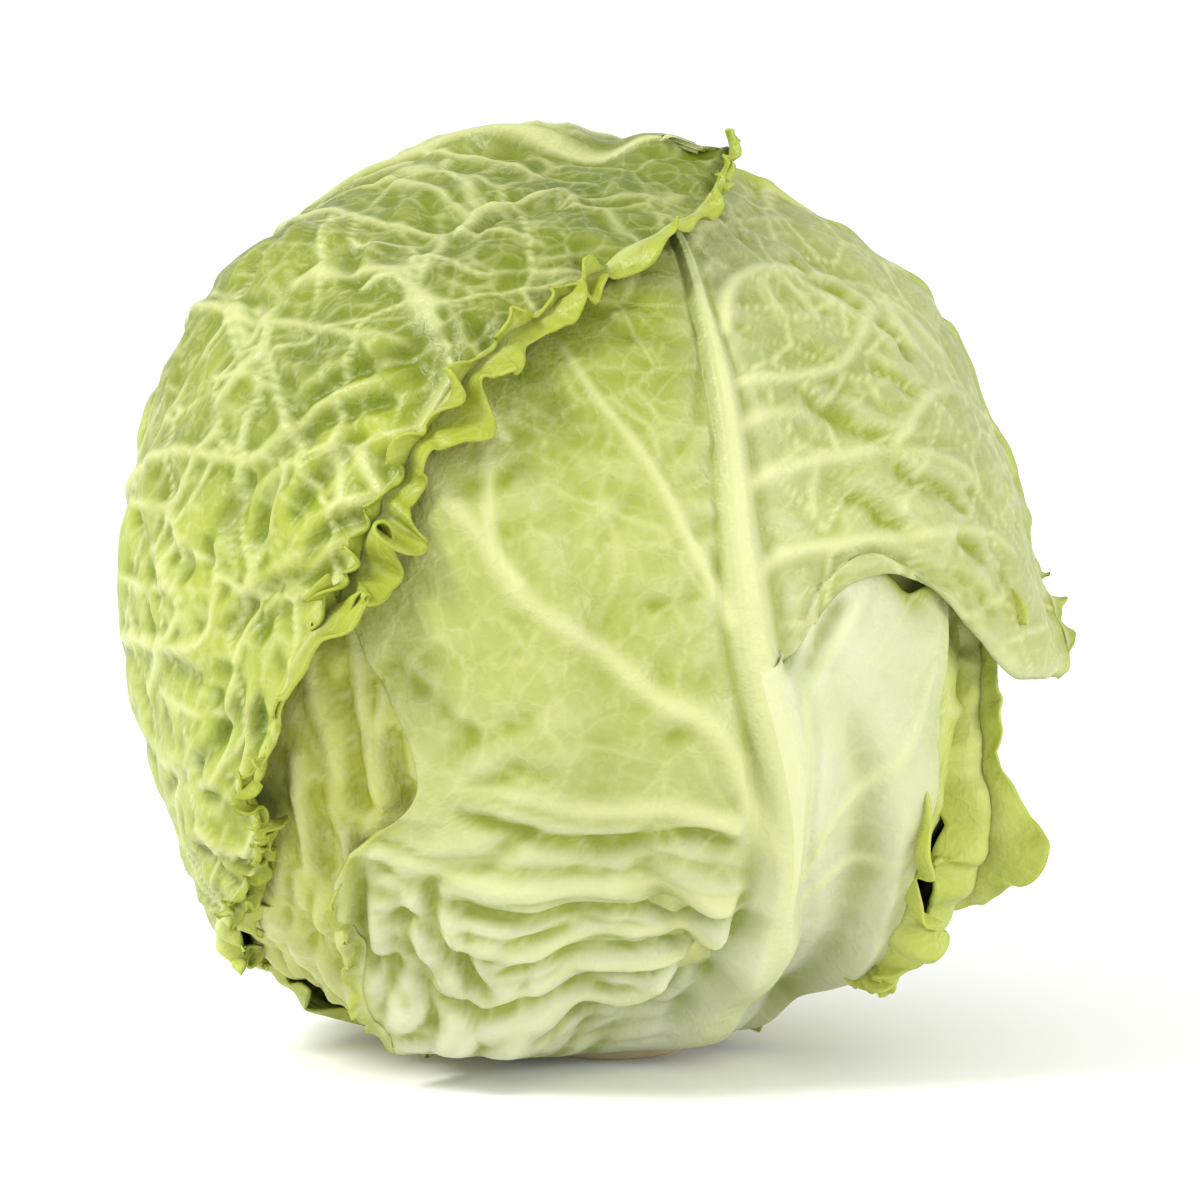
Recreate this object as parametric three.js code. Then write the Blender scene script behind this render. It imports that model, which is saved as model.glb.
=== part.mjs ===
// A head of cabbage, as cut: a closed inner head, the short cut stump that it
// rests on, and five loose outer leaves that wrap it. Every leaf grows from beside the
// stump, runs up the head along its thick midrib and lies over the leaves that are
// further in, with side veins that stand proud, a waved edge, and edges that lift away.
// Millimetres, +Z up. The origin is the middle of the stump's cut face, -Y is the front.
import * as THREE from "three";
import { mergeVertices } from "three/addons/utils/BufferGeometryUtils.js";

// Driving dimensions: the closed inner head
const HEAD_CENTRE = new THREE.Vector3(-6.5, 0, 90.3);
const INNER_RADIUS = 79;
const SQUARENESS = 2.15; // 2 is a ball, more is boxier
const INNER_FLAT_Z = 15; // the underside of the inner head, above the surface
const INNER_AROUND = 34;
const INNER_TIERS = 20;
const INNER_FOLD = 1.6; // step where one closed leaf ends on the next

// Where the head is fuller or flatter than that: direction, spread and height
const BULGES = [
  { at: [-85, 54], width: 26, out: 7 },
  { at: [-90, 15], width: 25, out: 2.5 },
  { at: [90, 8], width: 32, out: -6 },
  { at: [90, 58], width: 22, out: -3 },
];

// Driving dimensions: the cut stump
const STUMP_RADIUS = 15.5;
const STUMP_CHAMFER = 1.2;
const STUMP_WAIST = 13.5;
const STUMP_GAP = 0.5;
const STUMP_SIDES = 32;

// Driving dimensions: the outer leaves
const BLADE = 1.2; // thickness between the veins
const LAYER_GAP = 1.2; // air between a leaf and what it lies on
const GROUND_GAP = 0.8; // least height of a leaf above the surface
const GROUND_RISE = 0.15; // and how much more of it per millimetre further out
const GROUND_RISE_FROM = 20; // from this far off the middle
const FOOT_LENGTH = 0.1; // share of a leaf's length in which it comes down to its foot
const FOOT_RADIUS = 17; // a leaf's foot keeps this far from the stump's axis
const FACET_REACH = 9; // degrees: a leaf clears every point below it within this angle
const RELAX_ROUNDS = 12;
const RIB_FOOT = 0.1; // share of the columns that the half midrib takes
const RIB_LIMIT = 0.4; // the midrib never takes more of the half width than this
const RIB_TAPER = 0.72; // how much narrower the midrib is at the tip
const SIDE_VEINS = 8;
const VEIN_FOOT = 0.026; // half the spread of a side vein, as a share of the leaf's length
const VEIN_RISE = 1.2;
const VEIN_TENT = 1.1; // how far the blade itself rises under a vein
const LUMP = 1.6; // slow rise and fall of every blade
const FORK_SLIT = 0.004;
const FORK_END = 0.8; // share of the half width where the two lips of a fork are fully apart
const ARCH_SPAN = 0.8; // share of a leaf's length over which its side veins sweep upwards
const MARGIN_BLADE = 0.8; // how much of the blade is left where the surface cuts into it
const ACROSS = [0, 0.05, RIB_FOOT, 0.22, 0.36, 0.5, 0.64, 0.78, 0.9, 1];

// Each leaf is three lines on the head, from its foot at the stump to its tip: the
// midrib and its two edges, as seen from outside with the tip up. Their points are
// [longitude, latitude] in degrees, longitude 0 at the front and 90 at the right.
// foot is the height at which the leaf leaves the stump, a wave is the height of the
// ruffled edge, a lift pushes a patch outwards, and a pleat is a patch where the blade
// stands in deep folds along its side veins.
const LEAVES = [
  {
    name: "lower_left_leaf",
    colour: 0xcfd982,
    midrib: [[-47, -82], [-58, -62], [-62, -42], [-60, -20], [-57, 2], [-54, 26], [-50, 48]],
    left: [[-120, -82], [-116, -62], [-110, -42], [-106, -18], [-102, 4], [-90, 30], [-62, 49]],
    right: [[0, -79], [-14, -62], [-10, -38], [-4, -16], [-4, 6], [-16, 30], [-40, 49]],
    foot: 6,
    rib: { width: 5, rise: 3 },
    wave: { height: 4, count: 15 },
    arch: 4,
    lifts: [
      { side: 1, c: 0.95, v: 0.3, dc: 0.3, dv: 0.1, out: 2.5 },
      { side: -1, c: 0.6, v: 0.25, dc: 0.5, dv: 0.15, out: 9 },
      { side: 1, c: 0.3, v: 0.17, dc: 0.5, dv: 0.1, out: 4 },
    ],
    pleats: [
      { side: -1, c: 0.5, v: 0.3, dc: 0.7, dv: 0.3, rise: 2.4 },
      { side: 1, c: 0.6, v: 0.3, dc: 0.6, dv: 0.3, rise: 2.4 },
    ],
  },
  {
    name: "right_leaf",
    colour: 0xd3dd84,
    midrib: [[105, -74], [104, -55], [104, -36], [103, -16], [102, 4], [99, 26], [94, 50]],
    left: [
      [98, -72], [84, -57], [66, -42], [57, -26], [53, -10], [54, 4], [62, 20], [84, 47],
    ],
    right: [[135, -76], [139, -58], [140, -38], [139, -16], [136, 6], [128, 30], [104, 53]],
    foot: 5,
    rib: { width: 4.5, rise: 3 },
    wave: { height: 5, count: 11 },
    arch: 4,
    lifts: [
      { side: -1, c: 1.0, v: 0.27, dc: 0.35, dv: 0.07, out: 5 },
      { side: -1, c: 1.0, v: 0.42, dc: 0.3, dv: 0.08, out: 4 },
    ],
    pleats: [{ side: -1, c: 0.8, v: 0.4, dc: 0.5, dv: 0.3, rise: 2 }],
  },
  {
    name: "back_leaf",
    colour: 0xc3d67c,
    midrib: [[148, -76], [150, -52], [152, -28], [154, -4], [156, 24], [162, 54], [30, 84]],
    left: [[112, -76], [100, -54], [86, -33], [82, -10], [83, 16], [88, 44], [62, 74]],
    right: [[-176, -80], [-158, -56], [-144, -30], [-138, -4], [-138, 22], [-136, 50], [-60, 78]],
    foot: 3.5,
    rib: { width: 6, rise: 4 },
    wave: { height: 4, count: 15 },
    arch: 5,
    lifts: [
      { side: -1, c: 1.0, v: 0.33, dc: 0.25, dv: 0.045, out: 13 },
      { side: -1, c: 1.0, v: 0.46, dc: 0.2, dv: 0.05, out: 4 },
      { side: 1, c: 1.0, v: 0.6, dc: 0.3, dv: 0.15, out: 4 },
    ],
    pleats: [
      { side: -1, c: 0.8, v: 0.45, dc: 0.4, dv: 0.3, rise: 1.6 },
      { side: 1, c: 0.8, v: 0.25, dc: 0.4, dv: 0.2, rise: 1.6 },
    ],
  },
  {
    name: "front_leaf",
    colour: 0xcddc8c,
    midrib: [
      [48, -75], [42, -56], [35, -40], [30, -24], [23, -3], [21, 10], [21, 25], [23, 47], [36, 74],
    ],
    left: [
      [-28, -80], [-40, -62], [-36, -43], [-32, -28], [-20, -17], [-26, 0], [-36, 20], [-34, 34],
      [-27, 45], [-15, 54], [-2, 61], [12, 68], [27, 76],
    ],
    right: [[72, -76], [66, -62], [55, -44], [49, -28], [50, -14], [53, -5], [52, 8]],
    rightAbove: [[77, -8], [88, 7], [98, 27], [104, 50], [62, 79]],
    fork: { v: 0.5, u: 0.3, towards: [61, 34], reach: 0.07, lift: 3.5 },
    foot: 2,
    rib: { width: 6.2, rise: 5 },
    wave: { height: 3, count: 15 },
    arch: 7,
    lifts: [
      { side: 1, above: true, c: 1.0, v: 0.51, dc: 0.4, dv: 0.08, out: 5 },
      { side: -1, c: 0.9, v: 0.1, dc: 0.3, dv: 0.05, out: 2 },
    ],
    pleats: [
      { side: -1, c: 0.5, v: 0.12, dc: 0.6, dv: 0.16, rise: 2.4 },
      { side: 1, c: 0.7, v: 0.7, dc: 0.4, dv: 0.2, rise: 1.4 },
    ],
  },
  {
    name: "left_leaf",
    colour: 0xbdd077,
    midrib: [
      [-126, -81], [-122, -55], [-118, -28], [-114, 0], [-110, 24], [-104, 46], [-90, 66],
      [-20, 82], [60, 73],
    ],
    left: [
      [180, -79], [-172, -60], [172, -36], [166, -12], [163, 10], [160, 32], [158, 52], [150, 70],
      [80, 76],
    ],
    right: [
      [-112, -80], [-88, -46], [-50, -29], [-33, -5], [-25, 13], [-16, 30], [0, 47], [30, 61],
      [86, 71],
    ],
    foot: 0.9,
    rib: { width: 6.5, rise: 5 },
    wave: { height: 4.2, count: 16 },
    arch: 6,
    lifts: [
      { side: 1, c: 0.95, v: 0.3, dc: 0.3, dv: 0.1, out: 4 },
      { side: 1, c: 1.0, v: 1.0, dc: 0.4, dv: 0.04, out: 2 },
      { side: 1, c: 0.93, v: 0.6, dc: 0.12, dv: 0.25, out: 2.5 },
    ],
    pleats: [{ side: 1, c: 0.85, v: 0.5, dc: 0.35, dv: 0.3, rise: 2 }],
  },
];

const ramp = (from, to, x) => THREE.MathUtils.smoothstep(x, from, to);
const bell = (distance, width) => Math.exp(-((distance / width) ** 2));

// The unit vector from the head's centre at a longitude and latitude in degrees
function direction([longitude, latitude]) {
  const lon = THREE.MathUtils.degToRad(longitude);
  const lat = THREE.MathUtils.degToRad(latitude);
  return new THREE.Vector3(
    Math.cos(lat) * Math.sin(lon),
    -Math.cos(lat) * Math.cos(lon),
    Math.sin(lat),
  );
}

// A smooth line on the head through the given points
function lineOnHead(points) {
  const curve = new THREE.CatmullRomCurve3(points.map(direction), false, "catmullrom", 0.5);
  return (t) => curve.getPoint(THREE.MathUtils.clamp(t, 0, 1)).normalize();
}

// The direction a share t of the way from a to b, along the great circle
function between(a, b, t) {
  const angle = a.angleTo(b);
  return a
    .clone()
    .multiplyScalar(Math.sin((1 - t) * angle))
    .addScaledVector(b, Math.sin(t * angle))
    .divideScalar(Math.sin(angle));
}

function innerRadius(d) {
  const sum =
    Math.abs(d.x) ** SQUARENESS + Math.abs(d.y) ** SQUARENESS + Math.abs(d.z) ** SQUARENESS;
  let radius = INNER_RADIUS / sum ** (1 / SQUARENESS);
  for (const b of BULGES) {
    const angle = THREE.MathUtils.radToDeg(d.angleTo(direction(b.at)));
    radius += b.out * bell(angle, b.width);
  }
  return radius;
}

// How far out a point may lie before it comes nearer the surface than the given height,
// which grows with the given slope away from the stump
function groundLimit(d, height, slope = 0) {
  if (d.z > -0.05) return Infinity;
  const near = (HEAD_CENTRE.z - height) / -d.z;
  const far = (HEAD_CENTRE.z - height + slope * GROUND_RISE_FROM) / (slope * Math.hypot(d.x, d.y) - d.z);
  return Math.min(near, far);
}

// A slow rise and fall over the whole head, never below zero
function lump(d) {
  const a = Math.sin(6.1 * d.x + 2.3 * d.z + 0.7) * Math.cos(5.3 * d.z - 1.9 * d.y + 0.4);
  const b = Math.sin(4.7 * d.y - 3.1 * d.x + 1.1) * Math.cos(7.9 * d.z + 2.7 * d.x);
  return (LUMP * (2 + a + b)) / 4;
}

const placed = (d, radius) => d.clone().multiplyScalar(radius).add(HEAD_CENTRE);

// A point of a leaf, moved straight out from the stump where it would come too near it
function besideStump(p) {
  if (p.z > HEAD_CENTRE.z) return p;
  const away = Math.hypot(p.x, p.y);
  const push = Math.max(1, FOOT_RADIUS / away);
  return new THREE.Vector3(p.x * push, p.y * push, p.z);
}

// The closed inner head: its leaves end on each other in a slow spiral of low steps
function innerHead() {
  const geometry = new THREE.SphereGeometry(1, INNER_AROUND, INNER_TIERS);
  geometry.rotateX(Math.PI / 2);
  const position = geometry.getAttribute("position");
  const points = [];
  for (let i = 0; i < position.count; i++) {
    const d = new THREE.Vector3().fromBufferAttribute(position, i).normalize();
    const turn = Math.atan2(d.x, -d.y) / (2 * Math.PI);
    const flat = ramp(1, 0.9, Math.abs(d.z));
    const spiral = (3 * turn + 1.2 * d.z + 3) % 1;
    const step = INNER_FOLD * flat * Math.min(spiral, 6 * (1 - spiral));
    const radius = Math.min(innerRadius(d) + step, groundLimit(d, INNER_FLAT_Z));
    const p = placed(d, radius);
    position.setXYZ(i, p.x, p.y, p.z);
    points.push({ d, radius });
  }
  geometry.deleteAttribute("normal");
  geometry.deleteAttribute("uv");
  return { geometry: mergeVertices(geometry, 1e-3), points };
}

// The cut stump: a short stem with a bevelled cut face
function stump() {
  const top = INNER_FLAT_Z - STUMP_GAP;
  const profile = [
    [0, 0],
    [STUMP_RADIUS - STUMP_CHAMFER, 0],
    [STUMP_RADIUS, STUMP_CHAMFER],
    [STUMP_WAIST, 0.6 * top],
    [STUMP_WAIST, top],
    [0, top],
  ];
  const geometry = new THREE.LatheGeometry(
    profile.map(([r, z]) => new THREE.Vector2(r, z)),
    STUMP_SIDES,
  );
  geometry.rotateX(Math.PI / 2);
  geometry.deleteAttribute("normal");
  geometry.deleteAttribute("uv");
  return mergeVertices(geometry, 1e-3);
}

// Where the leaf lies on the head: side -1 or 1, c from 0 on the midrib to 1 at the
// edge, v from 0 at the foot to 1 at the tip. above tells which lip of a fork it is.
function leafPlan(leaf) {
  const midrib = lineOnHead(leaf.midrib);
  const left = lineOnHead(leaf.left);
  const right = lineOnHead(leaf.right);
  const rightAbove = leaf.rightAbove && lineOnHead(leaf.rightAbove);
  const fork = leaf.fork;

  function edge(side, v) {
    if (side < 0) return left(v);
    if (!fork) return right(v);
    return v < fork.v ? right(v / fork.v) : rightAbove((v - fork.v) / (1 - fork.v));
  }

  function ribWidth(v) {
    return leaf.rib.width * (1 - RIB_TAPER * v ** 0.8);
  }

  return function place(side, c, v) {
    const m = midrib(v);
    const e = edge(side, v);
    const halfWidth = m.angleTo(e) * INNER_RADIUS;
    const ribShare = Math.min(RIB_LIMIT, ribWidth(v) / halfWidth);
    const u =
      c < RIB_FOOT
        ? (c / RIB_FOOT) * ribShare
        : ribShare + ((c - RIB_FOOT) / (1 - RIB_FOOT)) * (1 - ribShare);
    const d = between(m, e, u);
    const up = new THREE.Vector3().crossVectors(m, e).normalize().multiplyScalar(side);
    const overFork = fork && side > 0 ? bell(v - fork.v, fork.reach) : 0;
    const archHeight = THREE.MathUtils.degToRad(leaf.arch) * 4 * u * (1 - u) * (1 - overFork);
    d.addScaledVector(up, archHeight * Math.sin(Math.PI * Math.min(1, v / ARCH_SPAN)));
    if (fork && side > 0) {
      const shared = between(m, direction(fork.towards), u);
      const inFork = ramp(0, fork.u, u) * (1 - ramp(fork.u, FORK_END, u));
      d.lerp(shared, inFork * Math.exp(-Math.abs(v - fork.v) / fork.reach));
    }
    return { d: d.normalize(), u };
  };
}

// The grid of a leaf: columns across it, rows along it, with a row on each side vein
// and one each side of it. A fork in the edge is a slit between two close rows.
function leafGrid(leaf) {
  const columns = [
    ...ACROSS.slice(1).reverse().map((c) => [-1, c]),
    ...ACROSS.map((c) => [1, c]),
  ];
  const rows = [0];
  for (let k = 0; k < SIDE_VEINS; k++) {
    const crest = (k + 0.5) / SIDE_VEINS;
    rows.push(crest - VEIN_FOOT, crest, crest + VEIN_FOOT);
    const next = (k + 1) / SIDE_VEINS;
    if (leaf.fork && next === leaf.fork.v) rows.push(next - FORK_SLIT, next + FORK_SLIT);
    else rows.push(next);
  }
  return { columns, rows };
}

// A leaf as one closed blade that lies over the points of what is below it
function leafBlade(leaf, below) {
  const place = leafPlan(leaf);
  const { columns, rows } = leafGrid(leaf);
  const reach = Math.cos(THREE.MathUtils.degToRad(FACET_REACH));
  const at = (i, j) => j * columns.length + i;

  const spots = [];
  for (const v of rows)
    for (const [side, c] of columns) {
      const spot = { side, c, v, ...place(side, c, v) };
      let floor = innerRadius(spot.d);
      for (const p of below)
        if (p.radius > floor && p.d.dot(spot.d) > reach) floor = p.radius;
      spot.floor = floor + LAYER_GAP;
      spots.push(spot);
    }

  // The blade settles smoothly on what is below it, like a cloth laid over it
  let rest = spots.map((s) => s.floor);
  for (let round = 0; round < RELAX_ROUNDS; round++)
    rest = rest.map((own, n) => {
      const i = n % columns.length;
      const j = (n - i) / columns.length;
      const around = [
        rest[at(Math.max(i - 1, 0), j)],
        rest[at(Math.min(i + 1, columns.length - 1), j)],
        rest[at(i, Math.max(j - 1, 0))],
        rest[at(i, Math.min(j + 1, rows.length - 1))],
      ];
      const mean = around.reduce((a, b) => a + b) / around.length;
      return Math.max(spots[n].floor, 0.5 * own + 0.5 * mean);
    });

  spots.forEach((s, n) => {
    const onVein = bell(((s.v * SIDE_VEINS) % 1) - 0.5, VEIN_FOOT * SIDE_VEINS);
    const alongVein = ramp(0, 0.15, s.u) * (1 - 0.5 * s.u);
    const phase = 2 * Math.PI * leaf.wave.count * s.v + 2 * s.side;
    const swing = 0.5 + 0.5 * Math.sin(phase) * Math.cos(0.37 * phase + s.side);
    let tent = VEIN_TENT;
    for (const p of leaf.pleats)
      if (p.side === s.side) tent += p.rise * bell(s.c - p.c, p.dc) * bell(s.v - p.v, p.dv);
    let lift = lump(s.d) + tent * onVein * alongVein;
    lift += leaf.wave.height * swing * ramp(0.72, 1, s.c) * ramp(0, 0.12, s.v);
    for (const l of leaf.lifts) {
      const lip = !l.above || s.v > leaf.fork.v;
      const apart = s.side * s.c - l.side * l.c;
      if (lip) lift += l.out * bell(apart, l.dc) * bell(s.v - l.v, l.dv);
    }
    if (leaf.fork && s.side > 0 && s.v > leaf.fork.v)
      lift +=
        leaf.fork.lift * ramp(leaf.fork.u, leaf.fork.u + 0.2, s.u) * bell(s.v - leaf.fork.v, 0.12);
    const across = Math.min(1, s.c / RIB_FOOT);
    const rib = leaf.rib.rise * (1 - 0.85 * s.v ** 0.7) * Math.sqrt(1 - across ** 2);
    const thick = BLADE + rib + VEIN_RISE * onVein * alongVein * ramp(1, 0.8, s.c);
    let base = rest[n] + lift;
    if (s.v < FOOT_LENGTH)
      base +=
        Math.max(0, groundLimit(s.d, leaf.foot) - base - thick) * (1 - ramp(0, FOOT_LENGTH, s.v));
    s.outer = Math.min(base + thick, groundLimit(s.d, GROUND_GAP, GROUND_RISE));
    s.inner = Math.min(base, s.outer - MARGIN_BLADE * BLADE);
  });

  // Both faces have the same triangles, and a wall joins them along every free edge
  const faces = [];
  for (let j = 0; j + 1 < rows.length; j++)
    for (let i = 0; i + 1 < columns.length; i++) {
      const outerShare = spots[at(i, j)].u;
      const onSlit = leaf.fork && rows[j] < leaf.fork.v && rows[j + 1] > leaf.fork.v;
      if (onSlit && columns[i][0] > 0 && outerShare > leaf.fork.u) continue;
      const [a, b, c, d] = [at(i, j), at(i + 1, j), at(i + 1, j + 1), at(i, j + 1)];
      faces.push([a, b, c], [a, c, d]);
    }
  const edges = new Map();
  for (const f of faces)
    for (let k = 0; k < 3; k++) {
      const [a, b] = [f[k], f[(k + 1) % 3]];
      if (!edges.delete(`${b} ${a}`)) edges.set(`${a} ${b}`, [a, b]);
    }
  const count = spots.length;
  const index = [];
  for (const [a, b, c] of faces) index.push(a, b, c, a + count, c + count, b + count);
  for (const [a, b] of edges.values()) index.push(a, a + count, b, b, a + count, b + count);

  const position = new Float32Array(count * 6);
  spots.forEach((s, n) => {
    besideStump(placed(s.d, s.outer)).toArray(position, 3 * n);
    besideStump(placed(s.d, s.inner)).toArray(position, 3 * (n + count));
  });
  const geometry = new THREE.BufferGeometry();
  geometry.setAttribute("position", new THREE.BufferAttribute(position, 3));
  geometry.setIndex(index);
  return { geometry, points: spots.map((s) => ({ d: s.d, radius: s.outer })) };
}

function leafMaterial(colour) {
  return new THREE.MeshStandardMaterial({
    color: colour,
    roughness: 0.45,
    metalness: 0,
    side: THREE.DoubleSide,
  });
}

function addMesh(group, name, geometry, material) {
  geometry.computeVertexNormals();
  const mesh = new THREE.Mesh(geometry, material);
  mesh.name = name;
  group.add(mesh);
}

const cabbage = new THREE.Group();
cabbage.name = "cabbage_head";

const cutStem = new THREE.MeshStandardMaterial({ color: 0xc9bd92, roughness: 0.7, metalness: 0 });
addMesh(cabbage, "stump", stump(), cutStem);

const inner = innerHead();
addMesh(cabbage, "inner_head", inner.geometry, leafMaterial(0xd6dc7a));

const below = [...inner.points];
for (const leaf of LEAVES) {
  const blade = leafBlade(leaf, below);
  addMesh(cabbage, leaf.name, blade.geometry, leafMaterial(leaf.colour));
  below.push(...blade.points);
}

export default cabbage;
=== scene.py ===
# A head of green cabbage, as it is cut and sold: a short stump, a tight inner head and five
# loose outer leaves, laid one over another in the order in which they are made here.
import math

import bmesh
import bpy
import numpy as np
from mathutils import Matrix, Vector


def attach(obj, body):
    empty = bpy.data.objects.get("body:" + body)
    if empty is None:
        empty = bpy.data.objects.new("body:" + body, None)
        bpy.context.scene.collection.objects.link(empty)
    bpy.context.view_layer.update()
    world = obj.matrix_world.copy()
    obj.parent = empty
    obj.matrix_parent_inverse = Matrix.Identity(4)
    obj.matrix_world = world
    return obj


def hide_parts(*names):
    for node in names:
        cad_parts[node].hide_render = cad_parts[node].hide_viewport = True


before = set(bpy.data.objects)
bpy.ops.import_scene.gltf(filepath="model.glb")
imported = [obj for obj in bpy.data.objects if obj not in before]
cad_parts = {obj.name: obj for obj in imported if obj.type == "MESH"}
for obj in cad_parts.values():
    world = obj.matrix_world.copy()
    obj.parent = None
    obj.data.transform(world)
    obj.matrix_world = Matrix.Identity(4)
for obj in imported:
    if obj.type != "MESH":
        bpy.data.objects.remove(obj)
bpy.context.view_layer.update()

# The studio: a plain white floor, a pale even sky and two soft lamps in front and above.
# The camera stands a little above the middle of the head and looks straight at it.
VIEW_TARGET = Vector((-0.002, 0.0, 0.0905))
VIEW_DISTANCE = 1.0
VIEW_ELEVATION = math.radians(6)
VIEW_WIDTH = 0.24  # what the picture takes in at the target, side to side
SENSOR = 36.0
FLOOR_SIZE = 6.0

camera_data = bpy.data.cameras.new("camera")
camera_data.sensor_width = SENSOR
camera_data.lens = SENSOR * VIEW_DISTANCE / VIEW_WIDTH
camera = bpy.data.objects.new("camera", camera_data)
bpy.context.collection.objects.link(camera)
back_off = Vector((0, -math.cos(VIEW_ELEVATION), math.sin(VIEW_ELEVATION))) * VIEW_DISTANCE
camera.location = VIEW_TARGET + back_off
camera.rotation_euler = (-back_off).to_track_quat("-Z", "Y").to_euler()
bpy.context.scene.camera = camera


def soft_lamp(name, place, size, power):
    """A square lamp that faces the middle of the head."""
    data = bpy.data.lights.new(name, "AREA")
    data.size = size
    data.energy = power
    lamp = bpy.data.objects.new(name, data)
    bpy.context.collection.objects.link(lamp)
    lamp.location = Vector(place)
    lamp.rotation_euler = (VIEW_TARGET - Vector(place)).to_track_quat("-Z", "Y").to_euler()
    return lamp


lamps = [
    soft_lamp("lamp_left", (-1.05, -0.7, 1.15), 0.5, 25),
    soft_lamp("lamp_right", (1.3, -0.9, 0.5), 0.6, 12),
]

world = bpy.data.worlds.new("studio")
world.use_nodes = True
sky = world.node_tree.nodes["Background"]
sky.inputs["Color"].default_value = (1.0, 1.0, 1.0, 1.0)
sky.inputs["Strength"].default_value = 1.06
bpy.context.scene.world = world
bpy.context.scene.view_settings.view_transform = "Standard"

floor_mesh = bmesh.new()
bmesh.ops.create_grid(floor_mesh, x_segments=2, y_segments=2, size=FLOOR_SIZE / 2)
floor_data = bpy.data.meshes.new("floor")
floor_mesh.to_mesh(floor_data)
floor_mesh.free()
floor = bpy.data.objects.new("floor", floor_data)
bpy.context.collection.objects.link(floor)
floor_paint = bpy.data.materials.new("floor_paint")
floor_paint.use_nodes = True
floor_shader = floor_paint.node_tree.nodes["Principled BSDF"]
floor_shader.inputs["Base Color"].default_value = (0.95, 0.95, 0.95, 1.0)
floor_shader.inputs["Roughness"].default_value = 0.8
floor_data.materials.append(floor_paint)

# The stump: what is left of the stem where the head was cut off, a firm pale core under a
# fibrous skin. Its cut face is dry and a little sunken, and the head stands on its rim.
STUMP_RADIUS = 15.5
STUMP_WAIST = 13.5
STUMP_CHAMFER = 1.2
STUMP_TOP = 14.5
STUMP_STEPS = 120
CUT_DISH = 0.45
MM = 0.001

CUT_PITH = (0.72, 0.66, 0.45)
CUT_RIM = (0.42, 0.33, 0.17)
STEM_SKIN = (0.60, 0.62, 0.36)


class Wire:
    """The output of a shader node, for sums that add their own Math nodes."""

    def __init__(self, finish, socket):
        self.finish = finish
        self.socket = socket

    def sum(self, operation, *values):
        return self.finish.node("ShaderNodeMath", {"operation": operation}, dict(enumerate(values)))

    def __add__(self, other):
        return self.sum("ADD", self, other)

    def __radd__(self, other):
        return self.sum("ADD", other, self)

    def __sub__(self, other):
        return self.sum("SUBTRACT", self, other)

    def __rsub__(self, other):
        return self.sum("SUBTRACT", other, self)

    def __mul__(self, other):
        return self.sum("MULTIPLY", self, other)

    def __rmul__(self, other):
        return self.sum("MULTIPLY", other, self)


class Finish:
    """A material that is put together from nodes, each made by one method."""

    def __init__(self, name):
        self.material = bpy.data.materials.new(name)
        self.material.use_nodes = True
        self.tree = self.material.node_tree
        self.shader = self.tree.nodes["Principled BSDF"]

    def node(self, kind, settings, inputs, output=0):
        node = self.tree.nodes.new(kind)
        for name, value in settings.items():
            setattr(node, name, value)
        for name, value in inputs.items():
            self.feed(node.inputs[name], value)
        return Wire(self, node.outputs[output])

    def feed(self, socket, value):
        if isinstance(value, Wire):
            self.tree.links.new(value.socket, socket)
        elif isinstance(value, tuple):
            socket.default_value = value if len(value) == len(socket.default_value) else (*value, 1.0)
        else:
            socket.default_value = value

    def surface(self, **values):
        for name, value in values.items():
            self.feed(self.shader.inputs[name.replace("_", " ")], value)

    def place(self):
        return self.node("ShaderNodeTexCoord", {}, {}, "Object")

    def attribute(self, name):
        return self.node("ShaderNodeAttribute", {"attribute_name": name}, {}, "Fac")

    def noise(self, where, scale, detail=3.0, roughness=0.5):
        values = {"Vector": where, "Scale": scale, "Detail": detail, "Roughness": roughness}
        return self.node("ShaderNodeTexNoise", {}, values, "Fac")

    def range(self, value, low, high, to_low=0.0, to_high=1.0):
        values = {0: value, 1: low, 2: high, 3: to_low, 4: to_high}
        return self.node("ShaderNodeMapRange", {"interpolation_type": "SMOOTHSTEP"}, values)

    def blend(self, share, first, second):
        settings = {"data_type": "RGBA", "clamp_factor": True}
        return self.node("ShaderNodeMix", settings, {0: share, 6: first, 7: second}, 2)

    def bump(self, height, strength, distance):
        values = {"Height": height, "Strength": strength, "Distance": distance}
        return self.node("ShaderNodeBump", {}, values)


def stem_finish():
    """Pale pith with a browned rim and darker strands, under a greener skin."""
    finish = Finish("cut_stem")
    where = finish.place()
    across = finish.node("ShaderNodeVectorMath", {"operation": "MULTIPLY"},
                         {0: where, 1: (1.0, 1.0, 0.0)})
    radius = finish.node("ShaderNodeVectorMath", {"operation": "LENGTH"}, {0: across}, "Value")
    mottle = finish.noise(where, 420.0, 4.0, 0.6)
    strand = finish.node("ShaderNodeTexVoronoi", {}, {"Vector": where, "Scale": 700.0}, "Distance")
    rim = finish.range(radius + mottle * 0.002, 0.0115, 0.0155)
    height = finish.node("ShaderNodeSeparateXYZ", {}, {0: where}, "Z")
    side = finish.range(height, 0.0006, 0.003)
    pith = finish.blend(finish.range(mottle, 0.3, 0.75), CUT_PITH, (0.80, 0.76, 0.58))
    face = finish.blend(rim * 0.85, pith, CUT_RIM)
    spotted = finish.blend(finish.range(strand, 0.35, 0.1) * 0.35, face, CUT_RIM)
    skin = finish.blend(finish.range(mottle, 0.35, 0.7), STEM_SKIN, (0.72, 0.72, 0.46))
    height_map = mottle * 0.6 - strand * 0.3
    finish.surface(
        Base_Color=finish.blend(side, spotted, skin),
        Roughness=finish.range(mottle, 0.2, 0.8, 0.6, 0.85),
        Normal=finish.bump(height_map, 0.5, 0.0006),
    )
    return finish.material


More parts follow.
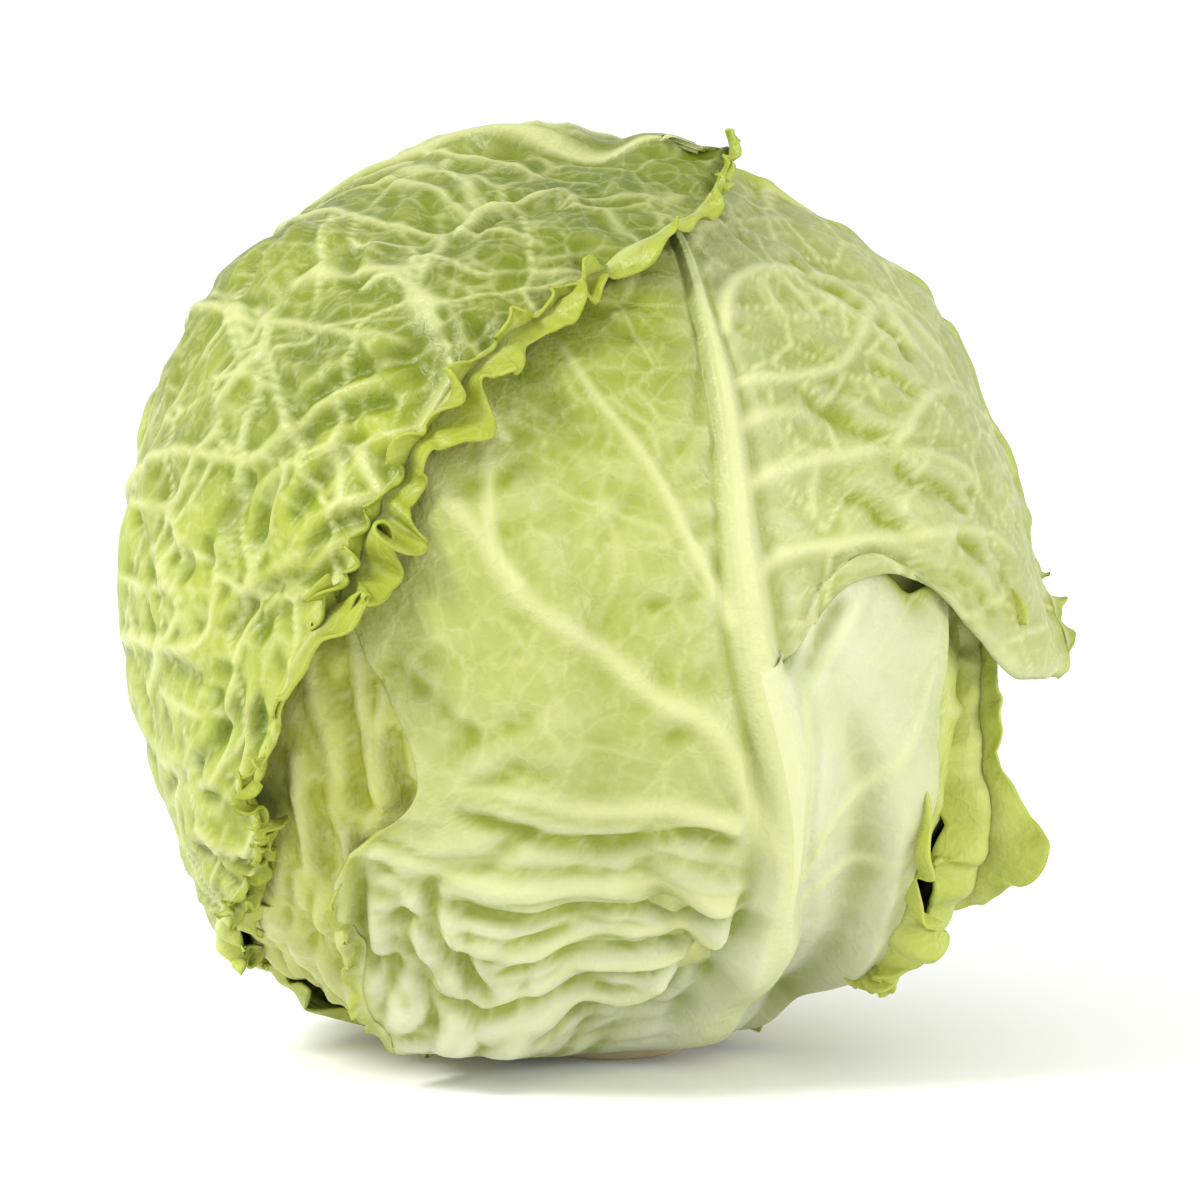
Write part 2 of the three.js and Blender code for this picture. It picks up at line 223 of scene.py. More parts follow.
def put_piece(name, mesh_maker, material, node, thickness=0.0):
    """Turns a bmesh into a finished piece that stands for one of the solid nodes."""
    data = bpy.data.meshes.new(name)
    mesh_maker.to_mesh(data)
    mesh_maker.free()
    data.materials.append(material)
    piece = bpy.data.objects.new(name, data)
    bpy.context.collection.objects.link(piece)
    if thickness:
        wall = piece.modifiers.new("wall", "SOLIDIFY")
        wall.thickness = thickness * MM
        wall.offset = -1.0
    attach(piece, "root")
    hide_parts(node)
    return piece


def make_stump():
    profile = [
        (0, CUT_DISH), (0.5 * STUMP_RADIUS, 0.8 * CUT_DISH), (STUMP_RADIUS - 2.6, 0.3 * CUT_DISH),
        (STUMP_RADIUS - STUMP_CHAMFER, 0), (STUMP_RADIUS - 0.4, 0.35), (STUMP_RADIUS, STUMP_CHAMFER),
        (STUMP_RADIUS - 0.7, 4), (STUMP_WAIST, 0.6 * STUMP_TOP), (STUMP_WAIST, STUMP_TOP),
        (0, STUMP_TOP),
    ]
    bm = bmesh.new()
    line = [bm.verts.new((radius * MM, 0, z * MM)) for radius, z in profile]
    edges = [bm.edges.new(pair) for pair in zip(line, line[1:])]
    bmesh.ops.subdivide_edges(bm, edges=edges, cuts=3)
    bmesh.ops.spin(bm, geom=bm.verts[:] + bm.edges[:], cent=(0, 0, 0), axis=(0, 0, 1),
                   angle=2 * math.pi, steps=STUMP_STEPS, use_merge=True)
    bmesh.ops.remove_doubles(bm, verts=bm.verts, dist=1e-6)
    bmesh.ops.recalc_face_normals(bm, faces=bm.faces)
    for vert in bm.verts:
        turn = math.atan2(vert.co.y, vert.co.x)
        fibre = 0.25 * math.sin(23 * turn + 1.7 * math.sin(5 * turn)) + 0.2 * math.sin(41 * turn)
        on_side = min(1.0, vert.co.z / (STUMP_CHAMFER * MM))
        shrink = 1 - 0.02 * on_side * (1 + fibre)
        vert.co.x *= shrink
        vert.co.y *= shrink
    for face in bm.faces:
        face.smooth = True
    return bm


put_piece("cut_stump", make_stump(), stem_finish(), "stump")

# The inner head: pale young leaves folded tightly on one another. Only narrow parts of it
# show, at the bottom beside the stump and between the outer leaves' edges.
HEAD_CENTRE = np.array([-6.5, 0.0, 90.3])
INNER_RADIUS = 79.0
SQUARENESS = 2.15  # 2 is a ball, more is boxier
INNER_FLAT_Z = 15.0
TABLE_RISE_START = 20.0
INNER_FOLD = 1.6
BULGES = [  # where the head is fuller or flatter: direction, spread and height
    ([-85, 54], 26, 7.0),
    ([-90, 15], 25, 2.5),
    ([90, 8], 32, -6.0),
    ([90, 58], 22, -3.0),
    ([-90, 80], 32, 4.0),
]
INNER_AROUND = 180
INNER_TIERS = 120
LATTICE_SIZE = 32
LATTICE_SEED = 11
LATTICE = np.random.default_rng(LATTICE_SEED).random((LATTICE_SIZE, LATTICE_SIZE, LATTICE_SIZE, 4))

LEAF_PALE = (0.45, 0.47, 0.17)
LEAF_GREEN = (0.25, 0.30, 0.018)
LEAF_DEEP = (0.070, 0.098, 0.001)
RIB_WHITE = (0.50, 0.52, 0.24)
# The colour of the shade that is painted into folds, dents and hollows.
FOLD_SHADE_GREEN = (0.115, 0.155, 0.002)
EDGE_YELLOW = (0.36, 0.40, 0.05)
MOTTLE_SCALE = 150.0
CRINKLE_SCALE = 430.0
GRAIN_SCALE = 1300.0
NET_SCALE = 165.0
NET_BEND = (0.007, 0.007, 0.007)
RELIEF_DEPTH = 0.0006


def ramp(start, end, x):
    """Smooth step from 0 at start to 1 at end."""
    t = np.clip((x - start) / (end - start), 0, 1)
    return t * t * (3 - 2 * t)


def bell(x, width):
    return np.exp(-((x / width) ** 2))


def unit(vectors):
    return vectors / np.linalg.norm(vectors, axis=-1, keepdims=True)


def direction(points):
    """Unit vectors from the head's centre at [longitude, latitude] in degrees."""
    lon, lat = np.radians(np.asarray(points, float)).T
    return np.stack([np.cos(lat) * np.sin(lon), -np.cos(lat) * np.cos(lon), np.sin(lat)], -1)


def inner_radius(d):
    radius = INNER_RADIUS / (np.abs(d) ** SQUARENESS).sum(-1) ** (1 / SQUARENESS)
    for at, width, out in BULGES:
        angle = np.degrees(np.arccos(np.clip(d @ direction([at])[0], -1, 1)))
        radius = radius + out * bell(angle, width)
    return radius


def surface_limit(d, height, rise=0.0):
    """How far out a point may lie before it comes nearer the table than height. With a rise,
    the leaves lift off the table a little more the further they are from the stump."""
    down = np.maximum(-d[..., 2], 0.05)
    level = np.hypot(d[..., 0], d[..., 1])
    near = (HEAD_CENTRE[2] - height) / down
    far = (HEAD_CENTRE[2] - height + rise * TABLE_RISE_START) / (down + rise * level)
    return np.where(d[..., 2] < -0.05, np.minimum(near, far), 1e6)


def noise(p, size, shift=0.0):
    """Smooth noise from -1 to 1, with features of about size millimetres."""
    q = p / size + shift
    base = np.floor(q).astype(int)
    t = q - base
    t = t * t * (3 - 2 * t)
    total = 0
    for corner in np.ndindex(2, 2, 2):
        weight = np.prod(np.where(corner, t, 1 - t), axis=-1)
        i, j, k = np.moveaxis((base + corner) % LATTICE_SIZE, -1, 0)
        total = total + weight * LATTICE[i, j, k, 0]
    return 2 * total - 1


def cells(p, size, shift=0.0):
    """How far each point is inside its cell, 0 on the border, and the cell's own number."""
    q = p / size + shift
    base = np.floor(q).astype(int)
    near = np.full(q.shape[:-1], 9.0)
    second = near.copy()
    own = np.zeros_like(near)
    for corner in np.ndindex(3, 3, 3):
        home = base + corner - np.array(1)
        i, j, k = np.moveaxis(home % LATTICE_SIZE, -1, 0)
        seed = LATTICE[i, j, k]
        away = np.linalg.norm(home + seed[..., :3] - q, axis=-1)
        closer = away < near
        second = np.where(closer, near, np.minimum(second, away))
        own = np.where(closer, seed[..., 3], own)
        near = np.minimum(near, away)
    return second - near, own


def set_attributes(data, **fields):
    """Gives each point of a mesh the numbers that its leaf finish reads."""
    for name, values in fields.items():
        layer = data.attributes.new(name, "FLOAT", "POINT")
        layer.data.foreach_set("value", np.asarray(values, np.float32).ravel())


def leaf_finish(name, green, deep, freshness, palest=LEAF_PALE, fold_shade=FOLD_SHADE_GREEN):
    """A waxy leaf: pale along its veins, yellow at its edge, and painted a darker saturated green in
    its folds and hollows as shade.
    """
    finish = Finish(name)
    where = finish.place()
    vein = finish.attribute("vein")
    pale = finish.attribute("pale")
    hollow = finish.attribute("hollow")
    edge = finish.attribute("edge")
    patch = finish.attribute("patch")

    mottle = finish.noise(where, MOTTLE_SCALE, 3.0, 0.6)
    crinkle = finish.noise(where, CRINKLE_SCALE, 2.0, 0.55)
    grain = finish.noise(where, GRAIN_SCALE, 1.0, 0.5)
    bent = finish.node("ShaderNodeVectorMath", {"operation": "MULTIPLY_ADD"},
                       {0: mottle, 1: NET_BEND, 2: where})
    net_gap = finish.node("ShaderNodeTexVoronoi", {"feature": "DISTANCE_TO_EDGE"},
                          {"Vector": bent, "Scale": NET_SCALE}, "Distance")
    net = finish.range(net_gap, 0.1, 0.0) * (1 - pale)

    blade = finish.blend(patch, green, deep)
    blade = finish.blend(finish.range(crinkle, 0.4, 0.75) * 0.08, blade, LEAF_PALE)
    # The pale attribute holds the leaf's own pale tone and also painted light: on raised spots and on
    # one bend of each frill's waves.
    blade = finish.blend(pale, blade, palest)
    blade = finish.blend(net * 0.16, blade, RIB_WHITE)
    # Painted shade: folds, dents and hollows are coloured a darker, saturated green.
    blade = finish.blend(hollow, blade, fold_shade)
    blade = finish.blend(vein, blade, RIB_WHITE)
    yellow = edge * finish.range(mottle, 0.2, 0.6, 0.5, 1.0)
    blade = finish.blend(yellow * freshness, blade, EDGE_YELLOW)

    relief = net * 0.14 + mottle * 1.6 + crinkle * 0.9 + grain * 0.2
    finish.surface(
        Base_Color=blade,
        Roughness=finish.range(mottle, 0.3, 0.9, 0.36, 0.54),
        Normal=finish.bump(relief, 0.6, RELIEF_DEPTH),
        Specular_IOR_Level=0.25,
    )
    return finish.material


def make_inner_head():
    bm = bmesh.new()
    bmesh.ops.create_uvsphere(bm, u_segments=INNER_AROUND, v_segments=INNER_TIERS, radius=1.0)
    d = unit(np.array([v.co for v in bm.verts]))
    turn = np.arctan2(d[:, 0], -d[:, 1]) / (2 * math.pi)
    flat = 1 - ramp(0.9, 1, np.abs(d[:, 2]))
    spiral = (3 * turn + 1.2 * d[:, 2] + 3) % 1
    step = INNER_FOLD * flat * np.minimum(spiral, 6 * (1 - spiral))
    inside, _ = cells(d * INNER_RADIUS, 13.0)
    ridge = bell(inside, 0.12)
    radius = inner_radius(d) + step + 0.5 * ridge + 0.6 * noise(d * INNER_RADIUS, 16.0)
    radius = np.minimum(radius, surface_limit(d, INNER_FLAT_Z))
    for vert, out, way in zip(bm.verts, radius, d):
        vert.co = (HEAD_CENTRE + way * out) * MM
    for face in bm.faces:
        face.smooth = True
    return bm, d, radius, ridge


inner_mesh, inner_way, inner_out, inner_ridge = make_inner_head()
inner_piece = put_piece("inner_leaves", inner_mesh,
                        leaf_finish("inner_leaf", (0.38, 0.41, 0.15), (0.32, 0.35, 0.09), 0.3),
                        "inner_head")
# The inner head is painted darker in the cells between its ridges, as shade.
set_attributes(
    inner_piece.data,
    vein=0.6 * inner_ridge,
    pale=np.full(len(inner_out), 0.45),
    hollow=0.2 * (1 - inner_ridge),
    edge=np.zeros(len(inner_out)),
    patch=0.5 + 0.5 * noise(inner_way * INNER_RADIUS, 22.0),
)

# The lower left leaf: the innermost of the loose leaves, a thin crumpled blade with narrow
# upright ribs. It hangs down to the table in blisters between the two leaves that cover it.
BLADE = 0.9  # thickness of every leaf blade
LAYER_GAP = 1.7  # air between a leaf and what it lies on
TABLE_GAP = 0.8
TABLE_RISE = 0.15
FOOT_RADIUS = 17.0
TOUCH_REACH = math.cos(math.radians(3.6))  # a blade clears all that is below it this near
SETTLE_ROUNDS = 90
SOFTEN_ROUNDS = 14
RIB_FOOT = 0.1
LUMP = 1.6
FORK_SLIT = 0.004
FORK_END = 0.8
ARCH_SPAN = 0.8
BLADE_RADIUS = 88.0  # about how far the outer leaves lie from the head's centre
VEIN_STAND = 1.15
VEIN_SINK = 0.35
PLEAT_WIDTH = 8.5
FRILL_BLADE = 0.6
FRILL_OVERLAP = 0.35  # how far inside the leaf's edge a margin is rooted, as a share
FRILL_GAP = 0.25
LOBE_DROP = 0.6
LIP_DROP = 1.6
FRILL_STEPS = 130
FRILL_STEPS_PER_MM = 2.1
FRILL_ACROSS = 13
POOL = 4  # a leaf is laid on every fourth point of what is below it
laid_way = [inner_way[::3]]
laid_out = [inner_out[::3]]


def way_through(points):
    """A smooth line on the head, as a function from 0..1 to unit vectors."""
    knots = direction(points) if np.shape(points)[-1] == 2 else np.asarray(points)
    knots = np.vstack([2 * knots[0] - knots[1], knots, 2 * knots[-1] - knots[-2]])
    spans = len(knots) - 3

    def at(t):
        t = np.clip(np.asarray(t, float), 0, 1) * spans
        k = np.minimum(t.astype(int), spans - 1)
        f = (t - k)[..., None]
        a, b, c, d = (knots[k + step] for step in range(4))
        leave, arrive = 0.5 * (c - a), 0.5 * (d - b)
        square = -3 * b + 3 * c - 2 * leave - arrive
        cube = 2 * b - 2 * c + leave + arrive
        return unit(b + leave * f + square * f**2 + cube * f**3)

    return at


def between(a, b, share):
    angle = np.arccos(np.clip((a * b).sum(-1), -1, 1))[..., None]
    share = np.asarray(share)[..., None]
    return (np.sin((1 - share) * angle) * a + np.sin(share * angle) * b) / np.sin(angle)


def leaf_edge(leaf, side, v):
    left = way_through(leaf["left"])(v)
    fork = leaf.get("fork")
    if fork:
        lower = way_through(leaf["right"])(v / fork["v"])
        upper = way_through(leaf["right_above"])((v - fork["v"]) / (1 - fork["v"]))
        right = np.where((v < fork["v"])[..., None], lower, upper)
    else:
        right = way_through(leaf["right"])(v)
    return np.where((side < 0)[..., None], left, right)


def place_on_head(leaf, side, c, v):
    """Direction, share and millimetres from the midrib of each grid point of a leaf."""
    rib = way_through(leaf["midrib"])(v)
    edge = leaf_edge(leaf, side, v)
    half_width = np.arccos(np.clip((rib * edge).sum(-1), -1, 1)) * INNER_RADIUS
    rib_share = np.minimum(0.4, leaf["rib_width"] * (1 - 0.72 * v**0.8) / half_width)
    on_rib = c / RIB_FOOT * rib_share
    on_blade = rib_share + (c - RIB_FOOT) / (1 - RIB_FOOT) * (1 - rib_share)
    u = np.where(c < RIB_FOOT, on_rib, on_blade)
    d = between(rib, edge, u)
    up = unit(np.cross(rib, edge)) * side[..., None]
    arch = math.radians(leaf["arch"]) * 4 * u * (1 - u) * np.sin(math.pi * np.minimum(1, v / ARCH_SPAN))
    fork = leaf.get("fork")
    if fork:
        arch = arch * (1 - (side > 0) * bell(v - fork["v"], fork["reach"]))
    d = d + up * arch[..., None]
    if fork:
        target = np.broadcast_to(direction([fork["towards"]])[0], rib.shape)
        shared = between(rib, target, u)
        in_fork = ramp(0, fork["u"], u) * (1 - ramp(fork["u"], FORK_END, u)) * (side > 0)
        pull = in_fork * np.exp(-np.abs(v - fork["v"]) / fork["reach"])
        d = d + (shared - d) * pull[..., None]
    return unit(d), u, u * half_width, (1 - u) * half_width, edge


def lump(d):
    """A slow rise and fall over the whole head, never below zero."""
    x, y, z = np.moveaxis(d, -1, 0)
    a = np.sin(6.1 * x + 2.3 * z + 0.7) * np.cos(5.3 * z - 1.9 * y + 0.4)
    b = np.sin(4.7 * y - 3.1 * x + 1.1) * np.cos(7.9 * z + 2.7 * x)
    return LUMP * (2 + a + b) / 4


def around_mean(field):
    p = np.pad(field, 1, mode="edge")
    return (p[1:-1, :-2] + p[1:-1, 2:] + p[:-2, 1:-1] + p[2:, 1:-1]) / 4


def soften(field, rounds):
    for _ in range(rounds):
        field = 0.5 * field + 0.5 * around_mean(field)
    return field


def resting_radius(d):
    """The height of a blade that settles on everything laid before it, like a cloth."""
    flat = d.reshape(-1, 3).astype(np.float32)
    ways = np.vstack(laid_way).astype(np.float32)
    outs = np.concatenate(laid_out).astype(np.float32)
    floor = inner_radius(flat)
    for start in range(0, len(flat), 4000):
        part = slice(start, start + 4000)
        near = flat[part] @ ways.T > TOUCH_REACH
        floor[part] = np.maximum(floor[part], np.where(near, outs, 0).max(1))
    floor = floor.reshape(d.shape[:-1]) + LAYER_GAP
    rest = floor
    for _ in range(SETTLE_ROUNDS):
        rest = np.maximum(floor, 0.5 * rest + 0.5 * around_mean(rest))
    return soften(rest, SOFTEN_ROUNDS)


def distance_to(d, points, radius=90.0):
    """Millimetres from each direction to a line on the head, and how far along it is."""
    line = way_through(points)
    knots = line(np.linspace(0, 1, 24))
    length = np.arccos(np.clip((knots[1:] * knots[:-1]).sum(-1), -1, 1)).sum() * radius
    line = line(np.linspace(0, 1, max(12, int(length / 0.5))))
    middle = unit(line.mean(0))
    reach = math.acos(np.clip((line @ middle).min(), -1, 1)) + 14 / radius
    flat = d.reshape(-1, 3)
    away = np.full(len(flat), 1e3)
    along = np.zeros(len(flat))
    near = np.flatnonzero(flat @ middle > math.cos(min(reach, math.pi)))
    dots = flat[near] @ line.T
    best = dots.argmax(1)
    away[near] = np.arccos(np.clip(dots[np.arange(len(near)), best], -1, 1)) * radius
    along[near] = best / (len(line) - 1)
    upwards = np.cross(line, np.gradient(line, axis=0))
    upwards = unit(upwards * (1 if upwards[len(line) // 2, 2] > 0 else -1))
    over = np.zeros(len(flat))
    over[near] = (flat[near] * upwards[best]).sum(1) * radius
    shape = d.shape[:-1]
    return away.reshape(shape), along.reshape(shape), over.reshape(shape)


def side_veins(leaf, count, side):
    """The side veins of a leaf that nothing shows closely: they leave the midrib in turn,
    sweep up towards the edge and fork before it."""
    lines = []
    for k in range(count):
        start = (k + 0.25 + 0.15 * (side > 0)) / count * 0.9
        wobble = LATTICE[k, int(side > 0), len(leaf["name"]), :3] - 0.5
        trunk_c = np.array([0.04, 0.2, 0.38, 0.55, 0.68])
        trunk_v = start + 0.16 * trunk_c**0.8 + 0.02 * wobble[0] * trunk_c
        for rise, reach, width in ((0.10, 0.97, 1.0), (0.0, 0.93, 0.7)):
            c = np.append(trunk_c, [0.82, reach])
            v = np.append(trunk_v, [trunk_v[-1] + 0.35 * rise + 0.015, trunk_v[-1] + rise + 0.03])
            v = np.clip(v + 0.012 * wobble[1], 0.01, 0.985)
            spot = place_on_head(leaf, np.full(len(c), float(side)), c, v)[0]
            lines.append((spot, 2.6 * width, 1.3 * width))
    return lines


def soften_line(line, rounds):
    for _ in range(rounds):
        line = np.vstack([line[:1], 0.25 * line[:-2] + 0.5 * line[1:-1] + 0.25 * line[2:], line[-1:]])
    return line


def spread_columns(count):
    """Shares from midrib to edge, closer together at both."""
    t = np.linspace(0, 1, count + 1)
    return 0.45 * t + 0.55 * 0.5 * (1 - np.cos(math.pi * t))


def dents(leaf, d):
    """Short dents scattered over a leaf, each with a raised lip on its upper side."""
    draw = np.random.default_rng(len(leaf["name"]))
    flat = d.reshape(-1, 3)
    depth = np.zeros(len(flat))
    for _ in range(leaf["dents"]):
        at = flat[draw.integers(len(flat))]
        level = unit(np.cross(at, [0.0, 0.0, 1.0]))
        upwards = np.cross(level, at)
        turn = math.radians(leaf["dent_turn"] + draw.normal(0, 28))
        along = level * math.cos(turn) + upwards * math.sin(turn)
        over = upwards * math.cos(turn) - level * math.sin(turn)
        length, width, deep = draw.uniform(2.8, 6.5), draw.uniform(1.5, 2.2), draw.uniform(0.5, 1.0)
        near = np.flatnonzero(flat @ at > math.cos(0.2))
        x = flat[near] @ along * INNER_RADIUS
        y = flat[near] @ over * INNER_RADIUS + 0.06 * x**2 * draw.uniform(-1, 1)
        pit = bell(x, length) * (bell(y, width) - 0.5 * bell(y - 2 * width, 1.2 * width))
        depth[near] = depth[near] + deep * pit
    return depth.reshape(d.shape[:-1])


def lay_leaf(leaf, left_columns, right_columns, rows):
    """The grid of a leaf as fields over (row, column), laid on what is there already."""
    c = np.concatenate([spread_columns(left_columns)[:0:-1], spread_columns(right_columns)])
    side = np.concatenate([-np.ones(left_columns), np.ones(right_columns + 1)])
    fork = leaf.get("fork")
    if fork:
        v = np.concatenate([np.linspace(0, fork["v"] - FORK_SLIT, rows // 2 + 1),
                            np.linspace(fork["v"] + FORK_SLIT, 1, rows // 2 + 1)])
    else:
        v = np.linspace(0, 1, rows + 1)
    v, c = np.meshgrid(v, c, indexing="ij")
    side = np.broadcast_to(side, v.shape)
    d, u, from_rib, to_edge, edge = place_on_head(leaf, side, c, v)
    above = side * (v > fork["v"]) > 0 if fork else np.zeros(v.shape, bool)

    point = d * BLADE_RADIUS
    rest = resting_radius(d)
    lift = lump(d)
    for spot in leaf["lifts"]:
        here = above | (not spot.get("above", False))
        reach = bell(side * c - spot["side"] * spot["c"], spot["dc"]) * bell(v - spot["v"], spot["dv"])
        lift = lift + here * spot["out"] * reach
    lobe = np.zeros(v.shape, bool)
    if fork:
        lobe = (side > 0) & (v < fork["v"])
        apart = ramp(fork["u"], fork["u"] + 0.12, u)
        lift = lift + above * fork["lift"] * apart * bell(v - fork["v"], 0.12)
        lift = lift - lobe * LOBE_DROP * apart * bell(v - fork["v"], 0.06)
        lip = above * apart * bell(v - fork["v"] - FORK_SLIT, 0.006)
        lift = lift - LIP_DROP * lip

    # The edge waves slowly, ruffles finely and curls outwards
    round_edge = np.stack([v * leaf["length"], 40.0 * side, 0 * v], -1)
    slow = noise(round_edge, 21.0, 3.3)
    quick = noise(round_edge, 8.0, 7.7)
    free = leaf["free"](side, v)
    lift = lift * (1 - leaf.get("hug", 0.9) * ramp(0.75, 1, c) * (1 - free))
    lift = lift + leaf["wave"] * (0.5 + 0.5 * slow) * ramp(0.68, 1, c) * free

    rib_width = leaf["rib_width"] * (1 - 0.8 * v**2.4)
    rib_rise = leaf["rib_rise"] * (1 - 0.85 * v**0.7)
    rib = 1 - ramp(0.35, 1.1, from_rib / rib_width)
    flank = bell(from_rib / rib_width - 1.22, 0.25) * (1 - 0.6 * v)
    vein = 0.8 * rib * (1 - 0.5 * (side < 0) * bell(from_rib / rib_width - 0.6, 0.35))
    relief = rib_rise * rib - leaf.get("flank", 0.4) * flank

    open_blade = ramp(0.9, 1.8, from_rib / rib_width)
    sheets = {"all": 1.0, "lobe": lobe, "flap": ~lobe}
    for points, width, height, *sheet in leaf["veins"]:
        away, along, _ = distance_to(d, points)
        fade = ramp(0, 0.05, along) * (1 - 0.55 * along) * (1 - ramp(0.93, 1, along))
        slim = away / (width * (1 - 0.45 * along))
        fade = fade * sheets[sheet[0] if sheet else "all"]
        line = np.exp(-(slim ** 1.7)) * fade
        sunken = VEIN_SINK * height * bell(away, 3 * width) * fade
        relief = relief + (VEIN_STAND * height * line - sunken) * open_blade
        vein = np.maximum(vein, np.exp(-((slim / 0.7) ** 2)) * fade)
    # Where creases, shelf steps and dents are painted darker, as shade.
    crease_shade = np.zeros(v.shape)
    for points, width, depth, *sheet in leaf["creases"]:
        away, along, over = distance_to(d, points)
        fade = ramp(0, 0.15, along) * (1 - ramp(0.8, 1, along)) * sheets[sheet[0] if sheet else "all"]
        line = np.exp(-((away / width) ** 1.6)) * fade
        lip = bell(over - 1.7 * width, 1.1 * width) * bell(away - 1.7 * width, 1.6 * width) * fade
        relief = relief + depth * (0.45 * lip - line)
        crease_shade = np.maximum(crease_shade, line * min(1, depth / 2.2))

    # The net of small veins, with the blade sunk or swollen between them
    warp = np.stack([noise(point, 17.0, s) for s in (1.1, 5.5, 9.9)], -1)
    inside, own = cells(point + 3.0 * warp, leaf["cell"], 0.4)
    fine_inside, fine_own = cells(point + 2.0 * warp, 0.46 * leaf["cell"], 2.7)
    net = bell(inside, 0.045)
    fine_net = bell(fine_inside, 0.07)
    swell = ramp(0, 0.45, inside) * (0.35 + own) - 0.5
    fine_swell = ramp(0, 0.5, fine_inside) * (0.3 + fine_own) - 0.4
    show = leaf["net"](side, u, v) * open_blade
    relief = relief + show * (leaf["net_rise"] * net + 0.4 * leaf["net_rise"] * fine_net)
    relief = relief + leaf["swell"] * show * (swell + 0.3 * fine_swell)
    tint = np.maximum(np.clip(show, 0, 1), leaf.get("net_tint", 0) * open_blade)
    vein = np.maximum(vein, tint * np.maximum(0.75 * net, 0.35 * fine_net))

    blister = leaf["blister"](side, u, v)
    big_inside, big_own = cells(point + 4.0 * warp, 13.0, 6.1)
    dome = ramp(0, 0.55, big_inside) * (0.4 + big_own)
    small = ramp(0, 0.6, fine_inside) * fine_own
    relief = relief + blister * (3.6 * dome + 1.3 * small - 1.4)

    if "pleats" in leaf:
        around = np.arctan2(d[..., 0], -d[..., 1]) * np.hypot(d[..., 0], d[..., 1]) * BLADE_RADIUS
        ridge = np.abs(np.sin(math.pi * (around / PLEAT_WIDTH + 0.9 * noise(point, 21.0, 0.9)))) ** 0.8
        relief = relief + leaf["pleats"](side, u, v) * (ridge - 0.6)

    if "shelves" in leaf:
        bent = v + 0.010 * noise(point, 15.0, 6.6) + 0.004 * noise(point, 6.0, 1.6)
        step = (bent / leaf["shelves"]) % 1
        where = (side < 0) * ramp(0.02, 0.07, v) * (1 - ramp(0.27, 0.34, v)) * ramp(0.06, 0.2, u)
        strength = where * np.clip(0.6 + 0.9 * noise(point, 19.0, 3.7), 0, 1)
        relief = relief + 1.7 * strength * (ramp(0, 0.16, step) * (1 - step) ** 1.2 - 0.35)
        crease_shade = np.maximum(crease_shade, 0.7 * strength * bell(np.minimum(step, 1 - step), 0.09))

    pits = leaf["dent_depth"](side, u, v) * dents(leaf, d) * open_blade * (1 - 0.85 * vein)
    relief = relief - pits
    crease_shade = np.maximum(crease_shade, np.clip(0.55 * pits, 0, 1))
    relief = relief + 0.5 * noise(point, 24.0, 4.2) + 0.25 * noise(point, 9.0, 8.4)
    relief = relief + 0.16 * noise(point + 2.0 * warp, 4.5, 2.4)
    outer = rest + lift + BLADE + soften(relief, 2) * (1 - 0.8 * ramp(0.93, 1, v))
    foot = surface_limit(d, leaf["foot"])
    outer = outer + np.maximum(foot - outer, 0) * (1 - ramp(0.01, 0.1, v))
    limit = surface_limit(d, min(leaf["foot"], TABLE_GAP + 2), TABLE_RISE)
    outer = -TABLE_GAP * np.logaddexp(-outer / TABLE_GAP, -limit / TABLE_GAP)

    # Painted shade: the blade is coloured darker where it lies below its own smoothed surface, and in
    # its creases and dents.
    hollow = np.maximum((soften(outer, 20) - outer) / 0.75, (soften(outer, 90) - outer) / 2.0)
    hollow = np.maximum(hollow, (soften(outer, 5) - outer) / 0.3)
    hollow = np.clip(np.maximum(hollow, 0.95 * crease_shade), 0, 1)
    # Painted highlight: raised spots are coloured paler.
    crest_highlight = np.clip((outer - soften(outer, 8)) / 0.5, 0, 1)

    curl_mm = np.minimum(leaf["curl"](side, v) * free, 0.35 * (from_rib + to_edge))
    turn = math.radians(leaf["turn"]) * (0.6 + 0.4 * noise(round_edge, 15.0, 1.9)) * free
    rolled = np.clip(1 - to_edge / np.maximum(curl_mm, 0.1), 0, 1)
    angle = rolled * turn
    bend = curl_mm / np.maximum(np.abs(turn), 0.05)
    towards = unit(edge - d * (edge * d).sum(-1, keepdims=True) + 1e-9)
    inwards = bend * np.sin(angle) - rolled * curl_mm
    outwards = bend * (1 - np.cos(angle))
    ruffled = rolled**1.3
    outwards = outwards + leaf["ruffle"] * ruffled * quick * free
    jagged = 0.8 * noise(round_edge, 5.5, 6.6) + 0.8 * slow
    inwards = inwards + leaf["ruffle"] * ramp(0.9, 1, c) * jagged * free
    spot = HEAD_CENTRE + d * (outer + outwards)[..., None] + towards * inwards[..., None]

    away = np.hypot(spot[..., 0], spot[..., 1])
    by_stump = (spot[..., 2] < HEAD_CENTRE[2]) & (away < FOOT_RADIUS)
    push = np.where(by_stump, FOOT_RADIUS / away, 1)
    spot[..., 0] *= push
    spot[..., 1] *= push
    spot[..., 2] = np.maximum(spot[..., 2], TABLE_GAP)

    pooled = outer + np.maximum(outwards, 0) * 0.5
    for _ in range(2):
        p = np.pad(pooled, 1, mode="edge")
        pooled = np.max([p[1:-1, 1:-1], p[:-2, 1:-1], p[2:, 1:-1], p[1:-1, :-2], p[1:-1, 2:]], 0)
    laid_way.append(d[::POOL, ::POOL].reshape(-1, 3))
    laid_out.append(pooled[::POOL, ::POOL].ravel())

    tone = noise(point, 30.0, 5.1) + 0.6 * noise(point, 11.0, 2.2)
